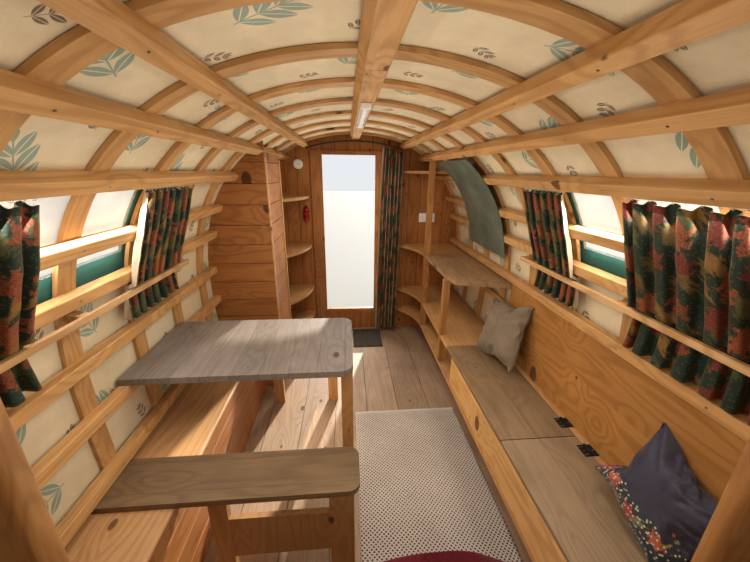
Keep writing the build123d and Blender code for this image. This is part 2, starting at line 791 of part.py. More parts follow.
def fixed_leaf(y):
    """The fixed leaf with the middle knuckle and the pin."""
    third = LEAF_LONG / 3
    leaf = block(LID_HINGE_X, LID_HINGE_X + LEAF_FIXED, y - LEAF_LONG / 2, y + LEAF_LONG / 2,
                 LEDGE_TOP, LEDGE_TOP + LEAF_THICK)
    for offset in (-third, third):
        gap = third / 2 + PIN_CLEAR
        leaf -= block(LID_HINGE_X, LID_HINGE_X + KNUCKLE_R + 1, y + offset - gap, y + offset + gap,
                      LEDGE_TOP, LEDGE_TOP + LEAF_THICK)
    leaf += barrel(y, third - 2 * PIN_CLEAR, KNUCKLE_R)
    return leaf + barrel(y, LEAF_LONG, PIN_R)


# Cheek boards and bed at the rear
BED_THICK = 22
MATTRESS_TOP = 700
BED_FRONT = FRONT_Y - 2625
SLAT = 120
SLAT_PITCH = 140


def cheek_boards():
    """Full-height boards either side of the bed, with rounded inner edges."""
    y0, y1 = CHEEK_FRONT - CHEEK_THICK, CHEEK_FRONT
    whole = along(bow_area(LINING_IN), y0, y1)
    left = whole & block(-LEDGE_OUT, CHEEK_LEFT, y0, y1, LEDGE_TOP, CROWN_Z)
    left += block(-WELL_HALF, CHEEK_LEFT, y0, y1, 0, LEDGE_TOP)
    right = whole & block(CHEEK_RIGHT, LEDGE_OUT, y0, y1, LEDGE_TOP, CROWN_Z)
    boards = []
    for board in (left, right):
        board = largest(notched(board, ROOF_SEATS + [ledge_left()]))
        edge = board.edges().filter_by(Axis.Z)
        inner = [e for e in edge if min(abs(e.center().X - x) for x in (CHEEK_LEFT, CHEEK_RIGHT)) < 0.01]
        boards.append(fillet(inner, CHEEK_THICK * 0.4))
    return boards


def bed_base():
    """Slats across the ledges, with a front slat on a board that leaves a store open below."""
    solids = []
    y0 = REAR_Y
    last = CHEEK_FRONT - CHEEK_THICK
    while y0 + SLAT <= last:
        solids.append(block(-LEDGE_JOINT, LID_HINGE_X - 20, y0, y0 + SLAT, LEDGE_TOP, LEDGE_TOP + BED_THICK))
        y0 += SLAT_PITCH
    x0, x1 = CHEEK_LEFT + CLEAR, SHELF_FRONT - LID_GAP * 4
    front = block(x0, x1, last, BED_FRONT - 10, LEDGE_TOP, LEDGE_TOP + BED_THICK)
    front += block(x0, x1, last, last + PANEL, 0, LEDGE_TOP)
    solids.append(front - block(x0 + 60, x1 - 60, last, last + PANEL, 40, LEDGE_TOP - 60))
    return solids


def mattress():
    """The bed under its cover: full width at the back and narrower between the cheek boards."""
    z0 = LEDGE_TOP + BED_THICK + CLEAR
    rear = REAR_Y + 10
    wide = block(-LEDGE_JOINT + 10, LID_HINGE_X - 20, rear, CHEEK_FRONT - CHEEK_THICK - 1, z0, MATTRESS_TOP)
    return wide + block(CHEEK_LEFT + 14, SHELF_FRONT - 11, rear, BED_FRONT, z0, MATTRESS_TOP)


# Table and seats
def rounded_top(x0, x1, y0, y1, z0, z1, corner, side):
    """A board with its two aisle corners rounded."""
    board = block(x0, x1, y0, y1, z0, z1)
    edges = board.edges().filter_by(Axis.Z).group_by(Axis.X)[side]
    return fillet(edges, corner)


TABLE_WALL_X = -(bow_x(TABLE_TOP) - 3)
SEAT_CORNER = 45
TABLE_CORNER = 60
LEG = 30
LEG_WIDE = 67
LEG_OUTER_X = -(WELL_HALF - 104)
LEG_INNER_X = SEAT_AISLE - 120
LEG_RAIL = (125, 330)


def table_top():
    board = rounded_top(TABLE_WALL_X, TABLE_AISLE, TABLE_NEAR, TABLE_FAR,
                        TABLE_TOP - TABLE_THICK, TABLE_TOP, TABLE_CORNER, -1)
    return largest(notched(board, SEATS_LEFT))


def seat_tops():
    tops = []
    for y0, aisle in ((SEAT_NEAR, SEAT_AISLE), (SEAT_FAR, SEAT_AISLE - 80)):
        board = rounded_top(SEAT_WALL_X, aisle, y0, y0 + SEAT_DEEP, LEDGE_TOP, LEDGE_TOP + SEAT_THICK,
                            SEAT_CORNER, -1)
        tops.append(largest(notched(board, SEATS_LEFT)))
    return tops


def board_legs():
    """Board legs under the table and both seats; those of the near seat are joined by a low rail."""
    y0 = TABLE_NEAR + 62
    solids = [block(TABLE_AISLE - 55, TABLE_AISLE - 2, y0, y0 + LEG, 0, TABLE_TOP - TABLE_THICK)]
    y0 = SEAT_NEAR + 45
    near = block(LEG_OUTER_X, LEG_OUTER_X + LEG_WIDE, y0, y0 + LEG, 0, LEDGE_TOP)
    near += block(LEG_INNER_X, SEAT_AISLE - 23, y0, y0 + LEG, 0, LEDGE_TOP)
    solids.append(near + block(LEG_OUTER_X + LEG_WIDE, LEG_INNER_X, y0 + 4, y0 + LEG - 4, *LEG_RAIL))
    y0 = SEAT_FAR + 60
    for x0 in (LEG_OUTER_X, LEG_INNER_X - LEG_WIDE):
        solids.append(block(x0, x0 + LEG_WIDE, y0, y0 + LEG, 0, LEDGE_TOP))
    return solids


# Rails, curtains and soft pieces
LATH_START = 1352
LATH_WIDE = 25
LATH_THICK = 12
LATH_INSET = 48
LATH_BLOCK = 40
LATH_FAR = FRONT_Y - 1413
LATH_NEAR = CHEEK_FRONT
RAIL_R = 7
RAIL_Y = FRONT_Y - 125
CURTAIN_THICK = 9
# Window curtains: side, near end, far end, lower end as an arc length
CURTAINS = [
    (-1, FRONT_Y - 1895, FRONT_Y - 1530, 1490),
    (-1, FRONT_Y - 2700, FRONT_Y - 2335, 1500),
    (1, FRONT_Y - 1875, FRONT_Y - 1570, 1495),
    (1, FRONT_Y - 2575, FRONT_Y - 2189, 1518),
]
# Path of a curtain down the roof: arc length, distance of its middle from the ribs
CURTAIN_ON_BAR = PURLINS[3][1] + CURTAIN_THICK / 2 + CLEAR
CURTAIN_PATH = [
    (PURLINS[2][0] + PURLIN_WIDE + 11, 20),
    (PURLINS[3][0] - 2, CURTAIN_ON_BAR),
    (PURLINS[4][0] + PURLIN_WIDE, CURTAIN_ON_BAR),
    (LATH_START + 22, 30),
]


def lath_blocks_y():
    first = FRONT_Y - RIB_FIRST
    return [first - RIB_PITCH * index for index in (4, 6)]


def curtain_laths():
    """A thin rail below each window on blocks off the ribs."""
    solids = []
    for side in (-1, 1):
        rail = along(bar_profile(LATH_START, LATH_WIDE, LATH_THICK, LATH_INSET), LATH_NEAR, LATH_FAR)
        for y in lath_blocks_y():
            spacer = bar_profile(LATH_START, LATH_WIDE, LATH_INSET + 0.5)
            rail += along(spacer, y - LATH_BLOCK / 2, y + LATH_BLOCK / 2)
        solids.append(largest(rail) if side > 0 else mirrored(largest(rail)))
    return solids


def window_curtains():
    solids = []
    for side, y0, y1, foot in CURTAINS:
        path = CURTAIN_PATH + [(foot, 30)]
        inner = [bow_point(s, inset - CURTAIN_THICK / 2) for s, inset in path]
        outer = [bow_point(s, inset + CURTAIN_THICK / 2) for s, inset in reversed(path)]
        cloth = along(make_face(Polyline(*inner, *outer, close=True)), y0, y1)
        solids.append(cloth if side > 0 else mirrored(cloth))
    return solids


RAIL_X, RAIL_Z = bow_point(PURLINS[0][0] + PURLIN_WIDE * 0.6, PURLINS[0][1] + RAIL_R + CLEAR)
RAIL_RISE = 62
RAIL_RADIUS = (RAIL_X**2 + RAIL_RISE**2) / (2 * RAIL_RISE)


def rail_z(x):
    """The height of the rod's centre line at a place across the cabin."""
    return RAIL_Z + RAIL_RISE - RAIL_RADIUS + (RAIL_RADIUS**2 - x**2) ** 0.5


def curtain_rail():
    """A bowed rod across the front end, held at the ends of the top bars."""
    arc = ThreePointArc((-RAIL_X, RAIL_Y, RAIL_Z), (0, RAIL_Y, rail_z(0)), (RAIL_X, RAIL_Y, RAIL_Z))
    section = Plane(origin=arc @ 0, z_dir=arc % 0) * Circle(RAIL_R)
    return sweep(section, path=arc)


# Door curtain: left and right at the top, left and right at the bottom, lower end
DOOR_CURTAIN = (245, 430, 195, 395, 60)


def door_curtain():
    """A narrow hanging slab beside the doorway, drawn in a little at the top under its rod."""
    top_left, top_right, foot_left, foot_right, foot = DOOR_CURTAIN
    drop = RAIL_R * 1.04 + CLEAR
    corners = [
        (top_left, rail_z(top_left) - drop),
        (top_right, rail_z(top_right) - drop),
        (foot_right, foot),
        (foot_left, foot),
    ]
    return along(make_face(Polyline(*corners, close=True)), RAIL_Y - 22, RAIL_Y + 22)


RUG_THICK = 6
RUG_LEFT = -40
RUG_SIDE_GAP = 56
MAT_THICK = 9


def rug():
    return block(RUG_LEFT, WELL_HALF - RUG_SIDE_GAP, FRONT_Y - 2715, FRONT_Y - 1305, CLEAR, CLEAR + RUG_THICK)


def doormat():
    return block(-35, 255, FRONT_Y - 415, FRONT_Y - 35, CLEAR, CLEAR + MAT_THICK)


# Cushions: width along the bench, height, thickness, lean in degrees, middle along the bench
CUSHION_FAR = (400, 380, 110, 28, FRONT_Y - 1405)
CUSHION_NEAR = (380, 360, 100, 22, FRONT_Y - 2480)


def cushion(width, height, thick, lean, y):
    """A plain rounded pad that stands on a lid and leans on the bench back."""
    pad = Box(thick, width, height, align=(Align.CENTER, Align.CENTER, Align.MIN))
    pad = fillet(pad.edges().filter_by(Axis.X), 40)
    tilt = radians(lean)
    back_face = bow_x(LEDGE_TOP) - BACK_THICK - 2 * CLEAR
    x = back_face - height * sin(tilt) - thick / 2 * cos(tilt)
    z = LEDGE_TOP + CLEAR + thick / 2 * sin(tilt)
    return Pos(x, y, z) * Rot(0, lean, 0) * pad


# Small fittings: middle of the smoke alarm and of the extinguisher, sockets' left edges and their levels
LIGHT = (44, 640, 26)
ALARM = (-510, 1656)
ALARM_R = 45
ALARM_DEEP = 30
BOTTLE = (-455, 1225)
BOTTLE_R = 26
BOTTLE_HIGH = 150
SOCKETS = [(624, 76), (704, 75)]
SOCKET_LEVELS = (1135, 1222)
SOCKET_DEEP = 12


def ceiling_light():
    wide, long, deep = LIGHT
    y0, z1 = FRONT_Y - 1675, CROWN_Z - RIDGE_DROP - RIDGE_DEEP
    return block(RIDGE_X - wide / 2, RIDGE_X + wide / 2, y0, y0 + long, z1 - deep, z1)


def wall_fittings():
    """Smoke alarm, small extinguisher and two sockets, all on the front wall."""
    x, z = ALARM
    alarm = Pos(x, FRONT_Y - ALARM_DEEP / 2, z) * Rot(90, 0, 0) * Cylinder(ALARM_R, ALARM_DEEP)
    x, z = BOTTLE
    y = FRONT_Y - BOTTLE_R - 4
    bottle = Pos(x, y, z) * Cylinder(BOTTLE_R, BOTTLE_HIGH) + block(x - 15, x + 15, y, FRONT_Y, z - 25, z)
    sockets = [block(x, x + wide, FRONT_Y - SOCKET_DEEP, FRONT_Y, *SOCKET_LEVELS) for x, wide in SOCKETS]
    return [alarm, bottle] + sockets


# Door leaves, standing open on the porch
LEAF = 28
DOOR_SPLIT = 960
DOOR_OPEN = 100
DOOR_GAP = 5
DOOR_AXIS = (DOOR_LEFT - 20, FRONT_Y + WALL + DOOR_GAP + LEAF / 2)
PINTLE_R = 5.8
EYE_BORE = 6
EYE_R = 11
DOOR_LAP = 6
STRAP_LONG = 190
STRAP_HIGH = 24
STRAP_THICK = 3


def hinge_levels(z0, z1):
    return [z0 + 110, z1 - 150]


def door_leaf(z0, z1):
    """A boarded leaf, modelled shut."""
    x0, x1 = DOOR_LEFT - DOOR_LAP, DOOR_RIGHT + 2 * DOOR_LAP
    y0 = FRONT_Y + WALL + DOOR_GAP
    y1 = y0 + LEAF
    leaf = block(x0, x1, y0, y1, z0, z1)
    for part in (1, 2, 3):
        x = x0 + (x1 - x0) * part / 4
        leaf -= block(x - 3, x + 3, y1 - 4, y1, z0, z1)
    return leaf


def door_straps(z0, z1):
    """Two straps on the outer face of a shut leaf, each carried round its edge to an eye."""
    x0 = DOOR_LEFT - DOOR_LAP
    y1 = FRONT_Y + WALL + DOOR_GAP + LEAF
    x, y = DOOR_AXIS
    straps = []
    for z in hinge_levels(z0, z1):
        strap = block(x0 - STRAP_THICK, x0 + STRAP_LONG, y1, y1 + STRAP_THICK, z, z + STRAP_HIGH)
        strap += block(x0 - STRAP_THICK, x0, y - STRAP_THICK, y1, z, z + STRAP_HIGH)
        strap += block(x, x0, y - STRAP_THICK, y + STRAP_THICK, z, z + STRAP_HIGH)
        strap += Pos(x, y, z + STRAP_HIGH / 2) * Cylinder(EYE_R, STRAP_HIGH)
        straps.append(strap - Pos(x, y, z + STRAP_HIGH / 2) * Cylinder(EYE_BORE, STRAP_HIGH * 2))
    return straps


def swung_open(shape):
    return shape.rotate(Axis((DOOR_AXIS[0], DOOR_AXIS[1], 0), (0, 0, 1)), DOOR_OPEN)


def door_pintles():
    """Brackets on the outside of the wall, each with an upright pin that carries an eye."""
    solids = []
    x, y = DOOR_AXIS
    for low, high in DOOR_LEAVES.values():
        for z in hinge_levels(low, high):
            foot = z - CLEAR
            arm = block(x - 7, x + 7, FRONT_Y + WALL, y + 7, foot - 14, foot)
            solids.append(arm + Pos(x, y, foot + STRAP_HIGH / 2) * Cylinder(PINTLE_R, STRAP_HIGH))
    return solids


DOOR_LEAVES = {
    "upper": (DOOR_SPLIT + 3, DOOR_HEAD + 2 * DOOR_LAP),
    "lower": (DOOR_SILL - 2 * DOOR_LAP, DOOR_SPLIT - 3),
}

PARTS = {
    "sole_bars": sole_bars(),
    "cross_bearers": cross_bearers(),
    "floor_boards": floor_boards(),
    "side_boards": [
        lower_side(-1, LEDGE_TOP - LEDGE_THICK),
        lower_side(1, SHELF_TOP - BOARD),
        locker_wall(),
    ],
    "ledge_left": [ledge_left()],
    "ledge_right": [ledge_right()],
    "ledge_brackets": ledge_brackets() + porch_brackets(),
    "bow_ribs": bow_ribs(),
    "ridge_beam": [ridge_beam()],
    "purlins": PURLINS_LEFT + PURLINS_RIGHT,
    "lining": [lining()],
    "canvas_cover": [canvas_cover()],
    "window_panels": window_panels() + rear_glass(),
    "crown_boards": crown_boards(),
    "front_wall": [front_wall()],
    "door_frame": [door_frame()],
    "rear_wall": [rear_wall()],
    "rear_sash": [rear_sash()],
    "wardrobe_front": [wardrobe_panel(WARDROBE_FRONT)],
    "wardrobe_side": [wardrobe_side()],
    "wardrobe_stiles": wardrobe_stiles(),
    "corner_shelves": corner_shelves(SHELF_LEVELS_LEFT, left_corner_outline())
    + corner_shelves(SHELF_LEVELS_RIGHT, right_corner_outline()),
    "counter_posts": counter_posts(),
    "worktop": [worktop()],
    "counter_shelf": [counter_shelf()],
    "base_shelf": [base_shelf()],
    "heat_shield": [heat_shield()],
    "bench_front": [bench_front()],
    "bench_ends": bench_ends(),
    "bench_back": [bench_back()],
    "cheek_boards": cheek_boards(),
    "bed_base": bed_base(),
    "mattress": [mattress()],
    "table_top": [table_top()],
    "seat_tops": seat_tops(),
    "board_legs": board_legs(),
    "curtain_rails": curtain_laths() + [curtain_rail()],
    "window_curtains": window_curtains(),
    "door_curtain": [door_curtain()],
    "rug": [rug()],
    "doormat": [doormat()],
    "cushion_far": [cushion(*CUSHION_FAR)],
    "cushion_near": [cushion(*CUSHION_NEAR)],
    "ceiling_light": [ceiling_light()],
    "wall_fittings": wall_fittings(),
    "door_pintles": door_pintles(),
    "lid_hinges": [fixed_leaf(y) for _, near, far in LIDS for y in hinge_places(near, far)],
}
for name, (low, high) in DOOR_LEAVES.items():
    PARTS["door_" + name] = [swung_open(door_leaf(low, high))]
    PARTS["door_straps_" + name] = [swung_open(strap) for strap in door_straps(low, high)]
for name, near, far in LIDS:
    PARTS["lid_" + name] = [lid(near, far)]
    PARTS["lid_leaves_" + name] = [lid_leaf(y) for y in hinge_places(near, far)]

os.makedirs("parts", exist_ok=True)
for name, solids in PARTS.items():
    flat = [solid for shape in solids for solid in shape.solids()]
    lifted = [Pos(0, 0, -SOLE_BOTTOM) * solid for solid in flat]
    export_step(Compound(label=name, children=lifted), f"parts/{name}.step")
    print(name, len(lifted))
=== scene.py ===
import math
import random

import bmesh
import bpy
import numpy as np
from mathutils import Matrix, Vector, noise


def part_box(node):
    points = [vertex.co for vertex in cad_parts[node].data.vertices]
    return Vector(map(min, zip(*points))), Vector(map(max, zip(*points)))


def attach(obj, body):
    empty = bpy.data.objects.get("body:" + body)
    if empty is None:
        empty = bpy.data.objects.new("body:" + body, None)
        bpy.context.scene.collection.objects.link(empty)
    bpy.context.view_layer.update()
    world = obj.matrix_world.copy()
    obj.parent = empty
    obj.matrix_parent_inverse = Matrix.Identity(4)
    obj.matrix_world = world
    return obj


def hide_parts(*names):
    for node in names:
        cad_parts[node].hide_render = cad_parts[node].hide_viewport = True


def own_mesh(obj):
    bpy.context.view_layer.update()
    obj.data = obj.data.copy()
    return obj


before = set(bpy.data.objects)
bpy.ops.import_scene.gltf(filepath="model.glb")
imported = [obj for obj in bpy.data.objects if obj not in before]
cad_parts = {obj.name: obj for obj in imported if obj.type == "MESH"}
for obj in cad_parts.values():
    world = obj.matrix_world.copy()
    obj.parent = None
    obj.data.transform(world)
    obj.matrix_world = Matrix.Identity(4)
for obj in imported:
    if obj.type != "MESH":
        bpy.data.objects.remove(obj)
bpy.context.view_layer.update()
print("frame loaded:", len(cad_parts), "pieces")

# Places that everything else is worked out from, in metres, read off the frame where it holds them
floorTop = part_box("floor_boards")[1].z
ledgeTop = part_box("lid_far")[1].z
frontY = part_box("door_frame")[0].y + 0.014   # the casing stands 14 mm proud of the front wall
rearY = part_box("mattress")[0].y - 0.010
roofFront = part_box("lining")[1].y
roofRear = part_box("lining")[0].y
ribThick = 0.014
ribWide = 0.072
ribPitch = 0.341
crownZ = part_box("bow_ribs")[1].z - ribThick
# radius, and where each arc ends in degrees
bowArcs = [(1.336, 15.15), (0.864, 75.76), (1.440, 90.0), (5.000, 100.0)]
barWide = 0.046
# arc length from the crown to a bar's upper edge
barStarts = [0.421, 0.636, 0.865, 1.100, 1.280, 1.530, 1.740, 1.970]
barDeep = 0.040
windowSpan = (frontY - 2.735, frontY - 1.555)   # near and far end of a window along the roof
windowDrop = (0.890, 1.300)                     # its upper and lower edge, down the roof
floorBoards = {"first": -0.620, "pitch": 0.222, "half": 0.70}   # where its joints fall, and half its width
pintleSpot = (-0.315, 1.766)                    # the axis that the door leaves turn on
lidHingeX = 0.945                               # the axis of the lids, in the same way


def toLinear(code):   # an sRGB hex colour as the linear one that the shaders take
    parts = [int(code[i:i + 2], 16) / 255 for i in (1, 3, 5)]
    return tuple(c / 12.92 if c <= 0.04045 else ((c + 0.055) / 1.055) ** 2.4 for c in parts) + (1.0,)


def addObject(name, data):
    thing = bpy.data.objects.new(name, data)
    bpy.context.scene.collection.objects.link(thing)
    return thing


# a node with its settings, its values and its links
def addNode(tree, kind, inputs=(), operation=None, **settings):
    node = tree.nodes.new(kind if "Node" in kind else "ShaderNode" + kind)
    if operation:
        node.operation = operation
    if kind == "Mix":
        node.data_type = "RGBA"
    for name, value in settings.items():
        setattr(node, name, value)
    sockets = [s for s in node.inputs if s.enabled]
    for key, value in inputs.items() if isinstance(inputs, dict) else enumerate(inputs):
        socket = sockets[key] if isinstance(key, int) else next(s for s in sockets if s.name == key)
        if isinstance(value, bpy.types.Node):
            value = next(s for s in value.outputs if s.enabled)
        if isinstance(value, bpy.types.NodeSocket):
            tree.links.new(value, socket)
        else:
            socket.default_value = toLinear(value) if str(value).startswith("#") else value
    return node


def feed(tree, shader, **values):   # links nodes to the shader's named sockets
    for name, node in values.items():
        tree.links.new(next(s for s in node.outputs if s.enabled), shader.inputs[name.replace("_", " ")])


def startMaterial(name, **values):   # a material with one plain shader, whose sockets take the named values
    material = bpy.data.materials.new(name)
    material.use_nodes = True
    tree = material.node_tree
    tree.nodes.clear()
    shader = addNode(tree, "BsdfPrincipled")
    for key, value in values.items():
        shader.inputs[key.replace("_", " ")].default_value = (
            toLinear(value) if isinstance(value, str) else value
        )
    addNode(tree, "OutputMaterial", [shader])
    return material, tree, shader


def bowPoint(length, out=0.0, y=0.0):   # arc length from the crown, distance outside the ribs' inner face
    side = -1 if length < 0 else 1
    left = abs(length)
    x, z, start = 0.0, crownZ - bowArcs[0][0], 0.0
    for index, (radius, end) in enumerate(bowArcs):
        span = radius * math.radians(end - start)
        if left <= span or index == len(bowArcs) - 1:
            angle = math.radians(start) + left / radius
            return Vector(
                (side * (x + (radius + out) * math.sin(angle)), y, z + (radius + out) * math.cos(angle))
            )
        left -= span
        step = radius - bowArcs[index + 1][0]
        x += step * math.sin(math.radians(end))
        z += step * math.cos(math.radians(end))
        start = end


def bowNormal(length):   # outward from the cabin
    return (bowPoint(length, 0.01) - bowPoint(length)).normalized()


footLength = 2.0   # arc length where the bow meets the ledges
while bowPoint(footLength).z > ledgeTop:
    footLength += 0.001

# Camera, matched to the photograph
shot = {
    "place": (-0.0776, -1.45, floorTop + 1.600),
    "down": 18.564,
    "right": 5.024,
    "roll": -0.7205,
    "focalPixels": 325.85,
    "framePixels": 750,
}
cameraData = bpy.data.cameras.new("shotCamera")
cameraData.sensor_width = 36.0
cameraData.lens = shot["focalPixels"] / shot["framePixels"] * cameraData.sensor_width
cameraData.clip_start = 0.02
shotCamera = addObject("shotCamera", cameraData)
turn = (
    Matrix.Rotation(-math.radians(shot["right"]), 4, "Z")
    @ Matrix.Rotation(math.radians(90 - shot["down"]), 4, "X")
    @ Matrix.Rotation(-math.radians(shot["roll"]), 4, "Z")
)
shotCamera.matrix_world = Matrix.Translation(shot["place"]) @ turn
bpy.context.scene.camera = shotCamera

# Light: a pale room outside, a low soft beam through the doorway and fills that the camera doesn't see
light = {
    "world": 0.85,
    "beam": 9.0,
    "beamAngle": 1.2,
    "beamFrom": (14.5, 24.3),   # to the right of straight ahead, above the horizon, in degrees
}
world = bpy.data.worlds.new("paleRoom")
bpy.context.scene.world = world
world.use_nodes = True
roomTree = world.node_tree
roomTree.nodes.clear()
ray = addNode(roomTree, "LightPath").outputs
seen = addNode(roomTree, "Math", [ray["Is Camera Ray"], ray["Is Glossy Ray"]], "MAXIMUM")
seen = addNode(roomTree, "Math", [seen, ray["Is Transmission Ray"]], "MAXIMUM")
lit = addNode(roomTree, "Background", ["#f4f6f8", light["world"]])
shown = addNode(roomTree, "Background", ["#e9edf0", 1.0])
both = addNode(roomTree, "MixShader", [seen, lit, shown])
addNode(roomTree, "OutputWorld", [both])


# a lamp at a place, aimed at a point
def addLamp(name, kind, power, place, aim, size=None, gloss=False, **settings):
    data = bpy.data.lights.new(name, kind)
    data.energy = power
    if size:
        data.shape = "RECTANGLE"
        data.size, data.size_y = size
    for key, value in settings.items():
        setattr(data, key, value)
    lamp = addObject(name, data)
    away = Vector(place) - Vector(aim)
    lamp.matrix_world = Matrix.Translation(place) @ away.to_track_quat("Z", "Y").to_matrix().to_4x4()
    lamp.visible_camera = False
    lamp.visible_glossy = gloss


side, up = (math.radians(a) for a in light["beamFrom"])
beam = Vector((math.sin(side) * math.cos(up), math.cos(side) * math.cos(up), math.sin(up)))
addLamp(
    "beam", "SUN", light["beam"], beam * 9, (0, 0, 0), gloss=True, angle=math.radians(light["beamAngle"]),
    color=(1.0, 0.95, 0.86)
)
fills = {   # power, place, the point that it faces, size, colour
    "fillBed": (5.5, (0.1, -1.95, 1.80), (0.1, 1.2, 0.9), (1.3, 0.5), (1.0, 0.97, 0.92)),
    "fillRoof": (7.4, (0.0, 0.1, 1.05), (0.0, 0.1, 2.0), (0.7, 2.4), (1.0, 0.97, 0.89)),
    "fillFloor": (12.0, (0.0, 0.1, 1.92), (0.0, 0.1, 0.0), (0.5, 2.6), (1.0, 0.98, 0.95)),
    "fillDoor": (19.0, (-0.05, frontY + 0.3, 1.2), (-0.05, 0.0, 1.0), (0.5, 1.3), (1.0, 1.0, 1.0)),
    "fillLining": (2.4, (0.25, -0.80, 1.25), (-0.80, -0.60, 1.62), (0.3, 1.0), (1.0, 0.97, 0.92)),
    # off the sunlit floor
    "fillBounce": (6.0, (-0.38, 0.25, 0.28), (0.7, 0.1, 0.55), (0.5, 1.2), (1.0, 0.84, 0.66)),
}
for name, (power, spot, aim, size, colour) in fills.items():
    addLamp(name, "AREA", power, spot, aim, size, color=colour)
windowFill = {"power": 11.0, "down": 1.06, "inside": 0.020, "y": -0.51, "aimZ": 0.75, "size": (0.75, 0.28)}
for sign in (-1, 1):   # daylight through the clear panels, from just inside them
    addLamp(
        "fillWindow", "AREA", windowFill["power"],
        bowPoint(sign * windowFill["down"], -windowFill["inside"], windowFill["y"]),
        (0.0, windowFill["y"], windowFill["aimZ"]), windowFill["size"], gloss=True
    )

# Floor that the wagon body stands on
floorMesh = bpy.data.meshes.new("roomFloor")
floorMesh.from_pydata([(-30, -30, 0), (30, -30, 0), (30, 30, 0), (-30, 30, 0)], [], [(0, 1, 2, 3)])
roomFloor = addObject("roomFloor", floorMesh)
floorMesh.materials.append(startMaterial("paleMattFloor", Base_Color="#9c9b97", Roughness=0.9)[0])
print("camera, light and floor done")

# Timber
timberAxes = {"x": ("Y", "X", "Z"), "y": ("X", "Y", "Z"), "z": ("X", "Z", "Y")}   # across, along, through
bowCentreZ = crownZ - 1.0
coatRoughness = 0.38


